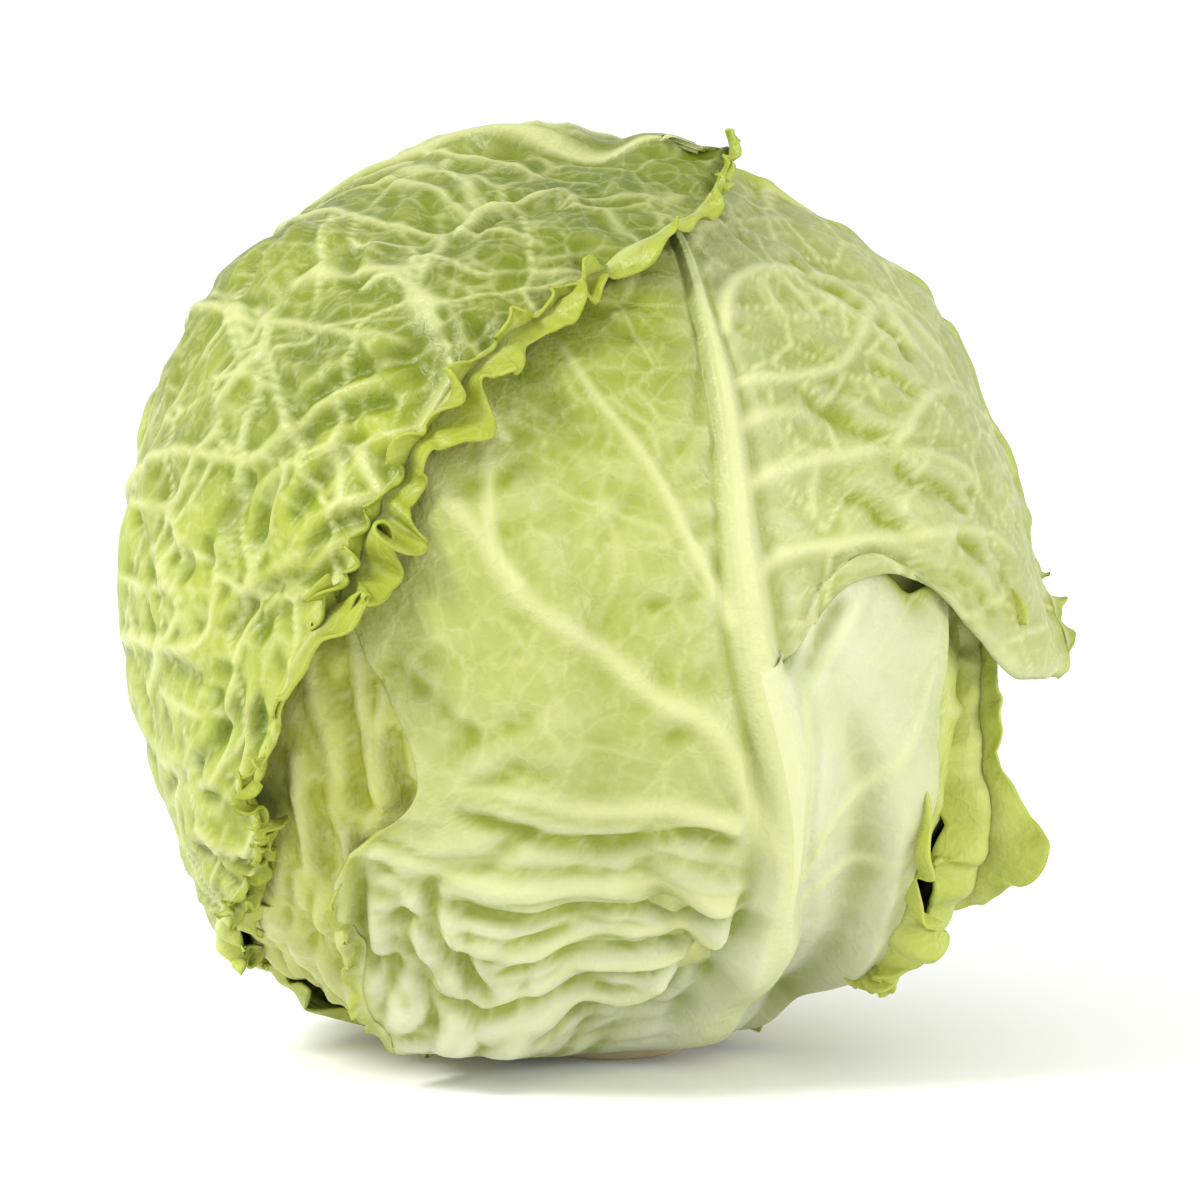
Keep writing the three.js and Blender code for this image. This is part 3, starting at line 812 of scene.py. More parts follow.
    # The pale tone is the leaf's own towards its foot and along its midrib, with a painted highlight
    # added on raised spots.
    pale = leaf["pale"](side, u, v) + 0.22 * crest_highlight + 0.4 * bell(from_rib, 13.0) * (1 - 0.6 * v)
    margin = ramp(0.45, 1, np.clip(1 - to_edge / (1.3 * np.maximum(curl_mm, 4.0)), 0, 1)) * free
    return {"spot": spot, "u": u, "v": v, "vein": 0.85 * vein,
            "hollow": 0.9 * hollow * (1 - 0.6 * vein), "pale": np.clip(pale, 0, 1), "edge": margin,
            "patch": np.clip(0.25 * tone + 0.9 * ramp(-0.1, 0.95, d[..., 2] + 0.18 * tone), 0, 1)}


def make_frill(name, fields, side, start, end, width, finish, node, wave=11.0, swing=75.0, lean=35.0):
    """A crinkled margin that grows on from a leaf's edge, longer than the edge it grows from,
    so it stands in tight waves. width gives how broad it is along the way, in millimetres."""
    column = -1 if side > 0 else 0
    edge_v = fields["v"][:, column]
    whole = fields["spot"][(edge_v >= start) & (edge_v <= end), column]
    whole_length = np.linalg.norm(np.diff(whole, axis=0), axis=1).sum()
    steps = int(FRILL_STEPS + FRILL_STEPS_PER_MM * whole_length)
    t = np.linspace(0, 1, steps)
    at = start + (end - start) * t
    keep = np.concatenate([[True], np.diff(edge_v) > 0])

    def along_edge(spots):
        line = np.stack([np.interp(at, edge_v[keep], spots[keep, k]) for k in range(3)], -1)
        return soften_line(line, 9)

    base = along_edge(fields["spot"][:, column])
    inner = along_edge(fields["spot"][:, -5 if side > 0 else 4])
    base = base + FRILL_OVERLAP * (inner - base) + FRILL_GAP * unit(base - HEAD_CENTRE)
    length = np.linalg.norm(np.diff(base, axis=0), axis=1).sum()
    along = unit(np.gradient(base, axis=0))
    out = unit(base - HEAD_CENTRE)
    away = base - inner
    away = unit(away - along * (away * along).sum(-1, keepdims=True))
    out = out - along * (out * along).sum(-1, keepdims=True)
    out = unit(out - away * (out * away).sum(-1, keepdims=True))

    track = np.stack([t * length, 0 * t, 0 * t], -1)
    shift = len(name) * 1.7
    phase = 2 * math.pi * (t * length / wave + 0.9 * noise(track, 2.2 * wave, shift))
    high = 0.65 + 0.55 * noise(track, 1.6 * wave, shift + 3)
    scallop = 0.68 + 0.45 * np.abs(np.sin(0.5 * phase + 1)) + 0.45 * noise(track, 5.5, shift + 5)
    broad = np.array([width(x) for x in at]) * scallop
    broad = broad * np.sqrt(np.clip(np.minimum(t, 1 - t) * 14, 0, 1))
    s = np.linspace(0, 1, FRILL_ACROSS)
    waving = np.sin(phase) + 0.35 * np.sin(2.7 * phase + 1)
    turn = np.radians(lean * np.minimum(1, 2.2 * s[None]) + swing * (high * waving)[:, None] * s[None])
    turn = turn + np.radians(25) * noise(np.stack(np.broadcast_arrays(
        t[:, None] * length, 9.0 * s[None], 0), -1), 5.0, shift + 7)
    step = broad[:, None] / (FRILL_ACROSS - 1)
    reach = np.cumsum(np.cos(turn) * step, 1) - np.cos(turn[:, :1]) * step
    rise = np.cumsum(np.sin(turn) * step, 1) - np.sin(turn[:, :1]) * step
    slide = 0.35 * broad[:, None] * s[None] ** 2 * np.cos(phase)[:, None] * high[:, None]
    spot = (base[:, None] + away[:, None] * reach[..., None] + out[:, None] * rise[..., None]
            + along[:, None] * slide[..., None])

    bm = bmesh.new()
    bmesh.ops.create_grid(bm, x_segments=FRILL_ACROSS - 1, y_segments=steps - 1, size=1.0)
    columns = [round((v.co.x + 1) / 2 * (FRILL_ACROSS - 1)) for v in bm.verts]
    lines = [round((v.co.y + 1) / 2 * (steps - 1)) for v in bm.verts]
    for vert, i, j in zip(bm.verts, columns, lines):
        vert.co = spot[j, i] * MM
    for face in bm.faces:
        face.smooth = True
    if side < 0:
        bmesh.ops.reverse_faces(bm, faces=bm.faces)
    piece = put_piece(name, bm, finish, node, FRILL_BLADE)
    # Painted light and shade: each wave of the margin is coloured paler where it bends one way and
    # darker where it bends the other.
    wavy = np.sin(phase)[lines]
    across = s[columns]
    set_attributes(
        piece.data,
        vein=0.5 * bell(across - 0.1, 0.25),
        pale=0.35 * np.clip(wavy, 0, 1) * (1 - across),
        hollow=0.35 * np.clip(-wavy, 0, 1) * (1 - 0.5 * across),
        edge=0.2 + 0.8 * across,
        patch=0.3 + 0 * across,
    )


def make_leaf(leaf, left_columns, right_columns, rows, finish):
    """One leaf as a grid that is bent into place and given its thickness, in place of the leaf's own
    part, which is hidden.
    """
    fields = lay_leaf(leaf, left_columns, right_columns, rows)
    tall, wide = fields["v"].shape
    bm = bmesh.new()
    bmesh.ops.create_grid(bm, x_segments=wide - 1, y_segments=tall - 1, size=1.0)
    spots = fields["spot"] * MM
    order = []
    for vert in bm.verts:
        column = round((vert.co.x + 1) / 2 * (wide - 1))
        row = round((vert.co.y + 1) / 2 * (tall - 1))
        order.append(row * wide + column)
    for vert, n in zip(bm.verts, order):
        vert.co = spots[n // wide, n % wide]
    fork = leaf.get("fork")
    if fork:
        bm.verts.ensure_lookup_table()
        low = tall // 2 - 1
        torn = [
            face for face in bm.faces
            if {order[v.index] // wide for v in face.verts} == {low, low + 1}
            and min(fields["u"][low, order[v.index] % wide] for v in face.verts) > fork["u"]
            and min(order[v.index] % wide for v in face.verts) >= left_columns
        ]
        bmesh.ops.delete(bm, geom=torn, context="FACES")
    for face in bm.faces:
        face.smooth = True
    piece = put_piece(leaf["name"] + "_blade", bm, finish, leaf["name"], BLADE)
    shades = ("vein", "pale", "hollow", "edge", "patch")
    set_attributes(piece.data, **{name: fields[name].ravel()[order] for name in shades})
    return fields


lower_left_leaf = {
    "name": "lower_left_leaf",
    "midrib": [[-47, -82], [-58, -62], [-62, -42], [-60, -20], [-57, 2], [-54, 26], [-50, 48]],
    "left": [[-120, -82], [-116, -62], [-110, -42], [-106, -18], [-102, 4], [-90, 30], [-62, 49]],
    "right": [[0, -79], [-14, -62], [-10, -38], [-4, -16], [-4, 6], [-16, 30], [-40, 49]],
    "rib_width": 5, "rib_rise": 3, "arch": 4, "length": 290, "wave": 3.0, "hug": 0.0,
    "lifts": [
        {"side": 1, "c": 0.95, "v": 0.3, "dc": 0.3, "dv": 0.1, "out": 2.5},
        {"side": -1, "c": 0.6, "v": 0.25, "dc": 0.5, "dv": 0.15, "out": 9},
        {"side": 1, "c": 0.3, "v": 0.17, "dc": 0.5, "dv": 0.1, "out": 6},
    ],
    "veins": [
        ([[-28, 6], [-28, -7], [-28, -15], [-28, -20]], 2.4, 2.6),
        ([[-36, 4], [-35, -7], [-34, -12], [-32, -19]], 2.6, 2.0),
        ([[-39, -14], [-41, -25], [-44, -34]], 2.6, 2.4),
        ([[-34, -24], [-35, -35], [-37, -45]], 2.6, 2.4),
        ([[-24, -4], [-26, -12], [-26, -22]], 1.8, 1.6),
    ],
    "creases": [
        ([[-31, -4], [-30, -12], [-30, -19], [-29, -24]], 2.2, 3.0),
        ([[-24, -10], [-24, -17], [-22, -24]], 2.0, 2.8),
        ([[-37, -18], [-39, -26], [-43, -36]], 2.0, 2.6),
        ([[-31, -26], [-32, -36], [-34, -46]], 2.2, 3.0),
    ],
    "pleats": lambda side, u, v: 2.4 * ramp(0.02, 0.1, v) * (1 - ramp(0.3, 0.45, v)),
    "cell": 13.0, "net_rise": 0.7, "swell": 1.2,
    "net": lambda side, u, v: 0.8 + 0 * u,
    "blister": lambda side, u, v: (1 - ramp(0.22, 0.36, v)) * ramp(0.02, 0.1, v),
    "dents": 130, "dent_turn": 80, "dent_depth": lambda side, u, v: 2.0 + 0 * u,
    "foot": 6.0, "free": lambda side, v: 0.0 * v, "curl": lambda side, v: 0.0 * v,
    "turn": 0, "ruffle": 0.0,
    "pale": lambda side, u, v: 0.45 * (1 - ramp(0.1, 0.6, v)),
}
make_leaf(lower_left_leaf, 60, 90, 176,
          leaf_finish("lower_left_leaf", (0.46, 0.485, 0.10), (0.37, 0.40, 0.04), 0.7,
                      fold_shade=(0.27, 0.30, 0.012)))

# The right leaf: it lies under the front leaf's lobe, and its front edge has come loose and
# rolled into an upright strip that ends at the bottom in ragged yellow curls.
right_leaf = {
    "name": "right_leaf",
    "midrib": [[105, -74], [104, -55], [104, -36], [103, -16], [102, 4], [99, 26], [94, 50]],
    "left": [[98, -72], [80, -58], [60, -43], [50, -27], [44, -10], [38, 4], [46, 20], [84, 47]],
    "right": [[135, -76], [139, -58], [140, -38], [139, -16], [136, 6], [128, 30], [104, 53]],
    "rib_width": 4.5, "rib_rise": 3, "arch": 4, "length": 260, "wave": 3.0,
    "lifts": [
        {"side": -1, "c": 1.0, "v": 0.27, "dc": 0.35, "dv": 0.07, "out": 3},
        {"side": -1, "c": 1.0, "v": 0.42, "dc": 0.3, "dv": 0.08, "out": 3},
    ],
    "creases": [],
    "cell": 12.0, "net_rise": 0.7, "swell": 1.0,
    "net": lambda side, u, v: 0.8 + 0 * u,
    "blister": lambda side, u, v: 0.0 * u,
    "dents": 90, "dent_turn": 70, "dent_depth": lambda side, u, v: 1.6 + 0 * u,
    "foot": 5.0, "free": lambda side, v: (side < 0) * ramp(0.12, 0.2, v) * (1 - ramp(0.5, 0.62, v)),
    "curl": lambda side, v: 2.5 + 0 * v,
    "turn": 60, "ruffle": 1.2,
    "pale": lambda side, u, v: 0.35 * (1 - ramp(0.1, 0.5, v)),
}
right_leaf["veins"] = side_veins(right_leaf, 7, -1) + side_veins(right_leaf, 7, 1)
right_finish = leaf_finish("right_leaf", (0.42, 0.47, 0.12), (0.33, 0.38, 0.05), 0.6,
                           fold_shade=(0.24, 0.29, 0.008))
right_fields = make_leaf(right_leaf, 60, 50, 160, right_finish)
make_frill("right_leaf_curls", right_fields, -1, 0.17, 0.33, lambda v: 8.5 * bell(v - 0.25, 0.07),
           right_finish, "right_leaf", wave=7.0, swing=95.0, lean=60.0)
make_frill("right_leaf_strip", right_fields, -1, 0.23, 0.56, lambda v: 11.0 * (1 - ramp(0.4, 0.56, v)),
           right_finish, "right_leaf", wave=34.0, swing=30.0, lean=70.0)
make_frill("right_leaf_foot_edge", right_fields, -1, 0.03, 0.2, lambda v: 4.5,
           right_finish, "right_leaf", wave=11.0, swing=50.0, lean=30.0)

# The back leaf: a broad green leaf that closes the head behind. Its front edge stands off at
# the right as an outer strip with one pointed curl.
back_leaf = {
    "name": "back_leaf",
    "midrib": [[148, -76], [150, -52], [152, -28], [154, -4], [156, 24], [162, 54], [30, 84]],
    "left": [[112, -76], [90, -54], [72, -33], [67, -10], [70, 16], [86, 44], [62, 74]],
    "right": [[-176, -80], [-158, -56], [-144, -30], [-138, -4], [-138, 22], [-136, 50], [-60, 78]],
    "rib_width": 6, "rib_rise": 4, "arch": 5, "length": 300, "wave": 1.6,
    "lifts": [
        {"side": -1, "c": 1.0, "v": 0.36, "dc": 0.22, "dv": 0.06, "out": 2},
        {"side": 1, "c": 1.0, "v": 0.6, "dc": 0.3, "dv": 0.15, "out": 4},
    ],
    "creases": [],
    "cell": 15.0, "net_rise": 0.8, "swell": 1.2,
    "net": lambda side, u, v: 1.0 + 0 * u,
    "blister": lambda side, u, v: 0.35 * ramp(0.5, 0.9, u) * (1 - ramp(0.3, 0.5, v)) * (side < 0),
    "dents": 220, "dent_turn": 40, "dent_depth": lambda side, u, v: 2.0 + 0 * u,
    "foot": 3.5, "free": lambda side, v: (side < 0) * ramp(0.14, 0.22, v) * (1 - ramp(0.4, 0.52, v)),
    "curl": lambda side, v: 4.0 + 0 * v,
    "turn": 110, "ruffle": 1.4,
    "pale": lambda side, u, v: 0.5 * (1 - ramp(0.05, 0.5, v)),
}
back_leaf["veins"] = side_veins(back_leaf, 8, -1) + side_veins(back_leaf, 8, 1)
back_finish = leaf_finish("back_leaf", LEAF_GREEN, LEAF_DEEP, 0.6)
back_fields = make_leaf(back_leaf, 80, 64, 170, back_finish)
# The back leaf's standing edge and tuck take the right leaf's lighter finish: painted light for light
# that shines through the thin edge.
make_frill("back_leaf_frill", back_fields, -1, 0.3, 0.63,
           lambda v: 5.0 + 9.0 * bell(v - 0.375, 0.026) + 5.0 * bell(v - 0.57, 0.03),
           right_finish, "back_leaf", wave=23.0, swing=32.0, lean=62.0)
make_frill("back_leaf_tuck", back_fields, -1, 0.17, 0.66, lambda v: 13.0,
           right_finish, "back_leaf", wave=26.0, swing=14.0, lean=-85.0)

# The front leaf: the big leaf that faces the viewer, with a thick pale midrib from the stump
# almost to the top. It is torn at the right, so its upper half lifts off as a pointed flap
# over a smooth lower lobe, and its lower left is pushed into level folds.
front_leaf = {
    "name": "front_leaf",
    "midrib": [
        [48, -75], [42, -56], [35, -40], [30, -24], [23, -3], [21, 10], [21, 25], [23, 47], [36, 74],
    ],
    "left": [
        [-28, -80], [-40, -62], [-36, -43], [-32, -28], [-20, -17], [-26, 0], [-36, 20], [-34, 34],
        [-27, 45], [-15, 54], [-2, 61], [12, 68], [27, 76],
    ],
    "right": [[84, -76], [78, -62], [61, -45], [50, -28], [50, -14], [53, -5], [52, 8]],
    "right_above": [[77, -8], [88, 7], [98, 27], [104, 50], [62, 79]],
    "fork": {"v": 0.5, "u": 0.3, "towards": [61, 34], "reach": 0.07, "lift": 2.0},
    "pleats": lambda side, u, v: 2.6 * (side < 0) * ramp(0.45, 0.75, u) * ramp(0.02, 0.08, v)
    * (1 - ramp(0.17, 0.26, v)),
    "shelves": 0.025, "net_tint": 0.45, "rib_width": 6.8, "rib_rise": 5.0, "flank": 1.1,
    "arch": 7, "length": 300, "wave": 2.2,
    "lifts": [
        {"side": 1, "above": True, "c": 1.0, "v": 0.51, "dc": 0.4, "dv": 0.08, "out": 5},
        {"side": -1, "c": 0.9, "v": 0.1, "dc": 0.3, "dv": 0.05, "out": 2},
    ],
    "veins": [
        ([[33, -32], [23, -19], [20, -13], [16, -9], [10, -6], [3, 0], [-7, 7], [-12, 14], [-19, 21],
          [-24, 25]], 4.2, 2.2),
        ([[-6, 7], [-10, 13], [-11, 22], [-13, 31]], 2.0, 1.0),
        ([[21, 1], [15, 13], [10, 23], [3, 32], [-4, 41]], 2.4, 1.0),
        ([[-9, 25], [-12, 29], [-15, 31]], 1.6, 0.8),
        ([[24, -24], [14, -21], [3, -21], [-7, -18], [-17, -17]], 3.4, 1.6),
        ([[27, -36], [15, -33], [4, -32], [-11, -30], [-25, -26]], 4.0, 3.0),
        ([[27, -43], [14, -41], [-3, -41], [-15, -39], [-24, -35]], 2.8, 2.2),
        ([[23, -46], [12, -48], [-3, -48], [-18, -48], [-30, -40]], 2.4, 2.2),
        ([[20, -52], [9, -57], [-3, -56], [-10, -55]], 2.6, 2.4),
        ([[34, -30], [32, -17], [31, -7], [34, 0], [39, 8]], 2.8, 1.1, "lobe"),
        ([[36, -35], [37, -25], [41, -18], [46, -11], [51, -3]], 2.4, 0.9, "lobe"),
        ([[38, -43], [41, -33], [47, -27], [52, -22]], 2.0, 0.7, "lobe"),
        ([[20, 18], [23, 20], [30, 22], [39, 23], [47, 23], [59, 20], [68, 15]], 3.0, 1.8, "flap"),
        ([[25, 40], [30, 48], [38, 52], [48, 53], [62, 51], [80, 46]], 2.4, 1.2),
        ([[22, 33], [29, 34], [34, 34], [43, 35], [49, 37], [61, 42], [68, 45], [67, 50], [66, 58]],
         1.9, 1.1),
        ([[22, 27], [28, 29], [36, 29]], 2.6, 0.8, "flap"),
        ([[21, 7], [27, 11], [37, 12], [45, 12], [53, 12], [63, 11], [72, 7]], 2.6, 1.4, "flap"),
        ([[47, 23], [56, 28], [66, 30], [80, 28]], 1.8, 0.9),
        ([[27, 58], [40, 63], [60, 64], [85, 60]], 1.8, 0.8),
    ],
    "creases": [
        ([[6, -30], [11, -32], [15, -36], [19, -43], [27, -51], [44, -61]], 4.0, 3.6),
        ([[-5, 47], [2, 45], [7, 42], [11, 40]], 1.4, 0.9),
        ([[-2, 26], [3, 26], [8, 23]], 1.4, 0.6),
        ([[-6, 24], [-2, 24], [0, 21], [3, 18]], 1.4, 0.6),
        ([[-10, 19], [-8, 22], [-4, 24]], 1.4, 0.6),
        ([[-23, -1], [-20, -4], [-17, -6]], 1.7, 1.5),
        ([[-17, -6], [-15, -9], [-12, -10]], 1.6, 1.1),
        ([[-9, -10], [-5, -8]], 1.6, 0.9),
        ([[-9, -12], [3, -11], [18, -11]], 1.4, 0.3),
        ([[25, -28], [17, -25], [3, -26], [-2, -25], [-10, -22], [-19, -20]], 1.7, 2.6),
        ([[28, -40], [20, -38], [4, -37], [-5, -36], [-14, -34], [-23, -32]], 1.7, 3.0),
        ([[23, -43], [17, -44], [11, -45], [4, -45], [-6, -44], [-19, -43]], 1.5, 2.4),
        ([[21, -49], [12, -51], [-3, -52], [-15, -51], [-25, -45], [-29, -34]], 1.5, 2.6),
        ([[16, -57], [6, -61], [-4, -60], [-11, -58]], 1.5, 2.2),
        ([[14, -66], [20, -60], [25, -51], [29, -42], [30, -36]], 3.2, 3.4),
        ([[-30, -26], [-33, -37], [-35, -45]], 1.8, 2.4),
        ([[-25, -33], [-26, -40], [-20, -48]], 1.6, 2.0),
        ([[-20, -28], [-21, -36], [-18, -43], [-12, -53]], 1.6, 2.0),
        ([[30, 6], [28, 1], [28, -5]], 2.4, 1.5, "lobe"),
        ([[35, 6], [32, 0], [31, -5]], 2.0, 1.3, "lobe"),
        ([[35, 31], [40, 29], [44, 26], [47, 24], [53, 22]], 1.9, 2.4),
        ([[45, 21], [51, 18], [54, 17], [60, 13]], 1.8, 2.1, "flap"),
        ([[37, 18], [40, 17], [43, 14], [47, 11]], 1.8, 1.9, "flap"),
        ([[52, 36], [55, 33], [58, 29]], 1.7, 2.2),
        ([[61, 57], [59, 51], [64, 48], [64, 43]], 1.8, 1.8),
        ([[46, 46], [54, 45]], 1.7, 1.2),
        ([[64, 42], [65, 38], [62, 34]], 1.6, 2.0),
        ([[54, 12], [58, 10], [59, 7]], 1.7, 2.0, "flap"),
        ([[51, 7], [56, 5], [61, 1]], 1.7, 1.5, "flap"),
        ([[41, 9], [46, 8], [52, 5], [56, 4]], 1.6, 1.1, "flap"),
        ([[52, 68], [50, 62], [48, 56]], 1.7, 1.0),
    ],
    "cell": 14.0, "net_rise": 0.45, "swell": 0.7,
    "net": lambda side, u, v: np.where(side > 0, np.where(v > 0.5, 1.0, 0.12), 0.3 * ramp(0.3, 0.5, v)),
    "blister": lambda side, u, v: 0.8 * (side < 0) * ramp(0.25, 0.8, u) * (1 - ramp(0.16, 0.26, v))
    * ramp(0.02, 0.08, v),
    "dents": 260, "dent_turn": -15,
    "dent_depth": lambda side, u, v: np.where(side > 0, np.where(v > 0.5, 0.8, 0.0),
                                              0.9 + 1.3 * (1 - ramp(0.2, 0.4, v))),
    "foot": 2.0,
    "free": lambda side, v: np.where(side > 0, np.where(v > 0.5, 1.0, 0.45), 1 - ramp(0.26, 0.34, v))
    * ramp(0.02, 0.08, v),
    "curl": lambda side, v: np.where(side > 0, 3.0, 2.5),
    "turn": 70, "ruffle": 0.9,
    "pale": lambda side, u, v: np.where(side > 0, np.where(v > 0.5, 0.15, 0.75),
                                        0.8 * (1 - ramp(0.12, 0.42, v))) * (1 - 0.25 * u),
}
LOBE_WHITE = (0.52, 0.54, 0.385)
front_finish = leaf_finish("front_leaf", (0.295, 0.33, 0.085), (0.165, 0.205, 0.008), 0.5, LOBE_WHITE,
                           fold_shade=(0.19, 0.235, 0.008))
front_fields = make_leaf(front_leaf, 106, 88, 252, front_finish)
make_frill("front_leaf_foot_frill", front_fields, -1, 0.11, 0.24, lambda v: 3.6,
           front_finish, "front_leaf", wave=10.0, swing=50.0, lean=0.0)
make_frill("front_leaf_frill", front_fields, 1, 0.53, 0.62, lambda v: 5.0 * bell(v - 0.575, 0.04),
           front_finish, "front_leaf", wave=7.0, swing=50.0, lean=10.0)

# The left leaf: the outermost leaf, wrapped over the left side and the top. It is the
# greenest, dented between raised whitish veins, and its front edge is pleated and frilled.
left_leaf = {
    "name": "left_leaf",
    "midrib": [
        [-126, -81], [-122, -55], [-118, -28], [-114, 0], [-110, 24], [-104, 46], [-90, 66],
        [-20, 82], [60, 73],
    ],
    "left": [
        [180, -79], [-172, -60], [172, -36], [166, -12], [163, 10], [160, 32], [158, 52], [150, 70],
        [80, 76],
    ],
    "right": [
        [-112, -80], [-88, -46], [-50, -29], [-33, -5], [-25, 13], [-16, 30], [0, 47], [30, 61],
        [86, 71],
    ],
    "rib_width": 6.5, "rib_rise": 5, "arch": 6, "length": 330, "wave": 3.4,
    "lifts": [
        {"side": 1, "c": 1.0, "v": 1.0, "dc": 0.4, "dv": 0.04, "out": 2},
        {"side": 1, "c": 0.93, "v": 0.6, "dc": 0.12, "dv": 0.25, "out": 2.5},
    ],
    "creases": [
        ([[-44, 18], [-37, 23], [-32, 26], [-26, 28], [-22, 29]], 1.7, 2.8),
        ([[-37, 26], [-33, 30], [-29, 32], [-25, 33], [-20, 36]], 1.7, 2.6),
        ([[-48, 11], [-46, 16], [-44, 20]], 1.7, 2.6),
        ([[-41, 10], [-41, 15], [-39, 18], [-36, 20]], 1.7, 2.4),
        ([[-47, -1], [-44, 2], [-40, 5], [-35, 7], [-30, 8], [-25, 12]], 1.8, 2.8),
        ([[-41, -2], [-38, 3], [-34, 5], [-29, 6]], 1.5, 2.2),
        ([[-40, -4], [-40, -12], [-41, -18], [-43, -24], [-49, -30]], 1.5, 2.8),
        ([[-36, 13], [-33, 18], [-30, 21], [-27, 24]], 1.7, 2.4),
        ([[-22, 54], [-21, 59], [-17, 61], [-10, 63], [-5, 64], [-3, 61]], 1.4, 2.0),
        ([[-33, 9], [-30, 13], [-26, 15], [-22, 17]], 1.5, 2.0),
        ([[-66, 47], [-63, 42]], 2.6, 2.6),
        ([[-44, 51], [-41, 45]], 2.2, 2.2),
        ([[-51, 35], [-47, 32], [-42, 29]], 1.9, 2.2),
        ([[-42, 31], [-37, 26]], 1.9, 2.2),
        ([[-49, 30], [-44, 26]], 1.8, 2.0),
        ([[-50, 12], [-49, 8]], 2.0, 2.0),
        ([[-54, 10], [-56, 5]], 1.9, 1.8),
        ([[-49, -6], [-49, -14]], 2.4, 2.4),
        ([[-64, -4], [-51, -6]], 2.0, 2.0),
        ([[-74, -23], [-55, -16], [-47, -11], [-43, -5]], 1.5, 1.8),
        ([[-66, -29], [-58, -29]], 2.4, 2.2),
        ([[-26, 52], [-19, 55]], 1.9, 1.8),
        ([[-36, 62], [-28, 66]], 1.5, 1.4),
    ],
    "cell": 17.0, "net_rise": 1.1, "swell": 1.5,
    "net": lambda side, u, v: 1.0 - 0.55 * ramp(0.62, 0.95, v),
    "blister": lambda side, u, v: 0.25 * (side > 0) * ramp(0.75, 0.95, u),
    "dents": 240, "dent_turn": 40, "dent_depth": lambda side, u, v: 2.3 - 1.2 * ramp(0.6, 0.9, v),
    "foot": 0.9,
    "free": lambda side, v: np.where(side > 0, ramp(0.27, 0.32, v) * (1 - ramp(0.4, 0.46, v)),
                                     ramp(0.1, 0.2, v) * (1 - ramp(0.72, 0.82, v))),
    "curl": lambda side, v: np.where(side > 0, 8.0, 5.0),
    "turn": 150, "ruffle": 2.4,
    "pale": lambda side, u, v: 0.2 * (1 - ramp(0.25, 0.6, v)),
}
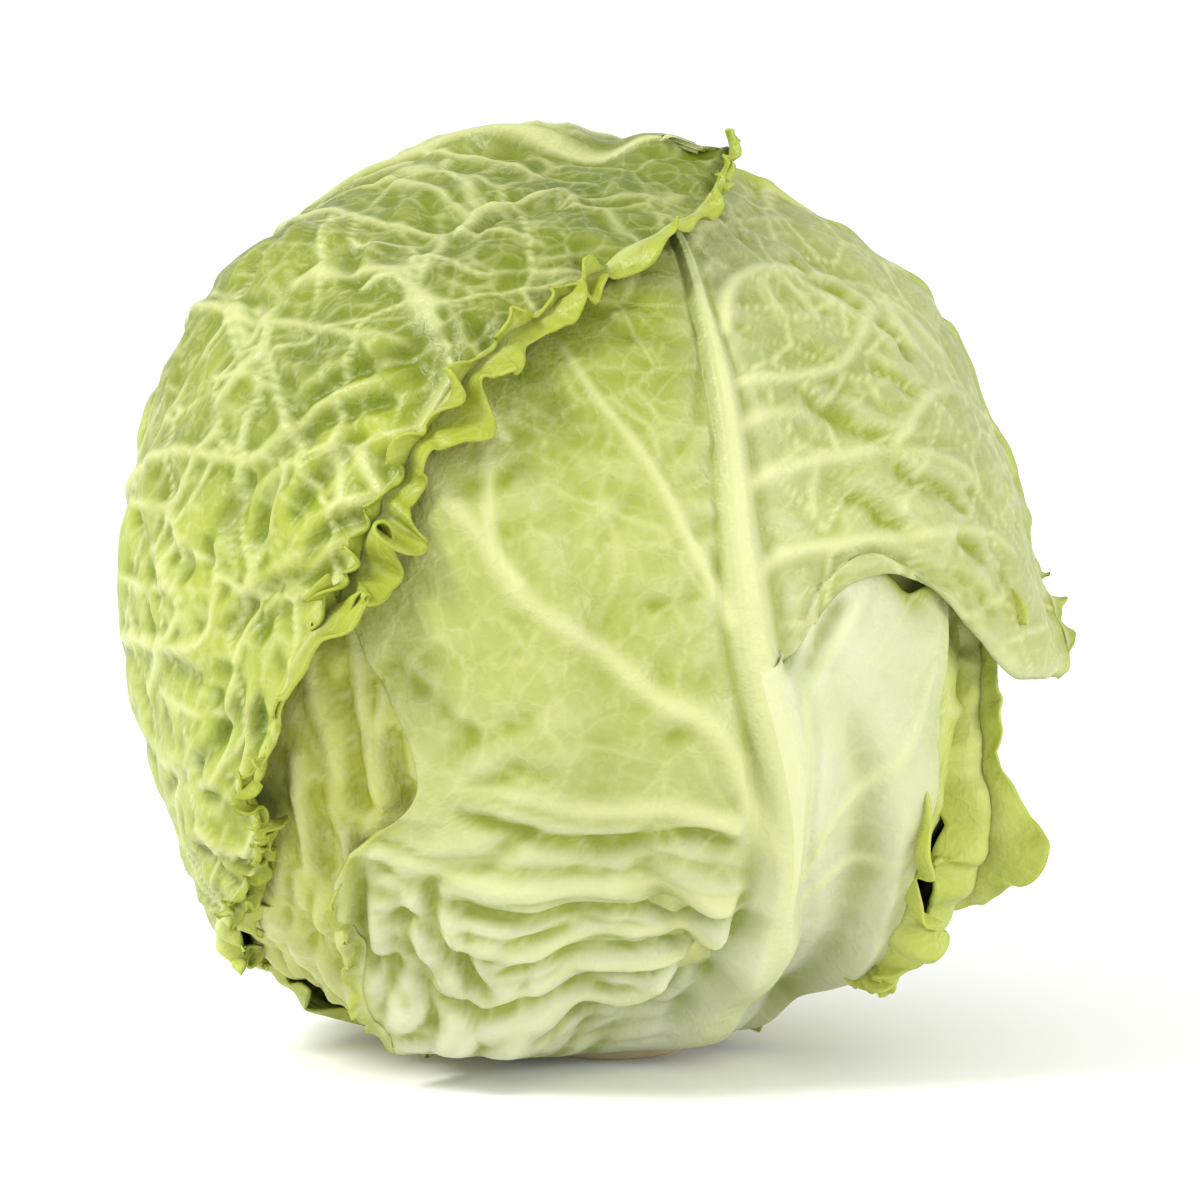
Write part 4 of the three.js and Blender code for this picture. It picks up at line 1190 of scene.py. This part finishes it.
left_leaf["veins"] = side_veins(left_leaf, 8, -1) + [
    ([[-98, 48], [-80, 53], [-63, 56], [-44, 55], [-30, 55], [-14, 55], [-4, 52]], 1.7, 1.7),
    ([[-98, 35], [-87, 36], [-77, 38], [-66, 39], [-55, 38], [-44, 38], [-38, 37], [-30, 36],
      [-21, 35]], 1.7, 1.7),
    ([[-96, 12], [-81, 17], [-68, 20], [-63, 21], [-50, 21], [-44, 21], [-38, 24], [-32, 28],
      [-24, 30]], 1.8, 1.8),
    ([[-86, 13], [-65, 14], [-58, 12], [-56, 8], [-57, 5], [-53, 2]], 1.3, 1.3),
    ([[-80, 4], [-68, 4], [-57, 5], [-48, 5]], 1.0, 0.9),
    ([[-86, -4], [-74, -3], [-61, -3], [-51, -1], [-48, 5], [-48, 9], [-46, 14], [-42, 19]], 1.5, 1.6),
    ([[-88, -14], [-76, -16], [-61, -17], [-54, -19], [-49, -16], [-45, -10]], 1.4, 1.4),
    ([[-30, 48], [-23, 48], [-16, 46], [-11, 48]], 1.1, 1.0),
    ([[-37, 43], [-31, 45], [-26, 43], [-21, 41], [-16, 41]], 1.2, 1.1),
    ([[-25, 54], [-24, 60], [-19, 63], [-10, 66], [-4, 67], [1, 62]], 1.7, 2.3),
    ([[-60, 72], [-51, 69], [-33, 66], [-20, 61]], 1.1, 1.0),
    ([[-66, 39], [-58, 35], [-50, 31], [-40, 29]], 1.2, 1.1),
    ([[-60, 30], [-50, 31], [-45, 26]], 1.1, 1.0),
    ([[-63, 56], [-49, 48], [-45, 43], [-42, 38]], 1.1, 1.0),
    ([[-67, -9], [-53, -10], [-45, -9]], 1.1, 1.0),
    ([[-110, 66], [-70, 72], [-30, 74], [10, 68]], 1.5, 1.1),
    ([[-60, -24], [-54, -28], [-48, -26], [-43, -14], [-40, -4]], 2.0, 2.8),
]
left_finish = leaf_finish("left_leaf", LEAF_GREEN, LEAF_DEEP, 0.55, palest=(0.40, 0.43, 0.12))
left_fields = make_leaf(left_leaf, 60, 134, 252, left_finish)


def left_frill_width(v):
    """Broad flat lobes where the margin falls over the front leaf, narrow in between."""
    lobes = ((0.43, 6, 0.02), (0.475, 8, 0.018), (0.52, 6, 0.016), (0.605, 8, 0.017), (0.665, 5, 0.014),
             (0.72, 4, 0.015), (0.83, 4, 0.014))
    return 6.5 + sum(more * bell(v - at, spread) for at, more, spread in lobes)


make_frill("left_leaf_frill", left_fields, 1, 0.36, 0.965, left_frill_width, left_finish, "left_leaf",
           wave=21.0, swing=42.0, lean=6.0)
make_frill("left_leaf_tip", left_fields, 1, 0.92, 1.0, lambda v: 4.0 + 2.5 * bell(v - 0.985, 0.02),
           left_finish, "left_leaf", wave=6.0, swing=70.0, lean=25.0)
make_frill("left_leaf_low_frill", left_fields, 1, 0.19, 0.34, lambda v: 5.0,
           left_finish, "left_leaf", wave=12.0, swing=60.0, lean=-20.0)
make_frill("left_leaf_low_knobs", left_fields, 1, 0.2, 0.33, lambda v: 4.0,
           left_finish, "left_leaf", wave=7.0, swing=70.0, lean=40.0)
make_frill("left_leaf_foot_tuck", left_fields, 1, 0.02, 0.22, lambda v: 8.0,
           right_finish, "left_leaf", wave=12.0, swing=22.0, lean=-95.0)
make_frill("left_leaf_inner_frill", left_fields, 1, 0.42, 0.78,
           lambda v: 4.0 + 5.0 * bell(v - 0.45, 0.03) + 4.0 * bell(v - 0.6, 0.03),
           left_finish, "left_leaf", wave=13.0, swing=60.0, lean=70.0)
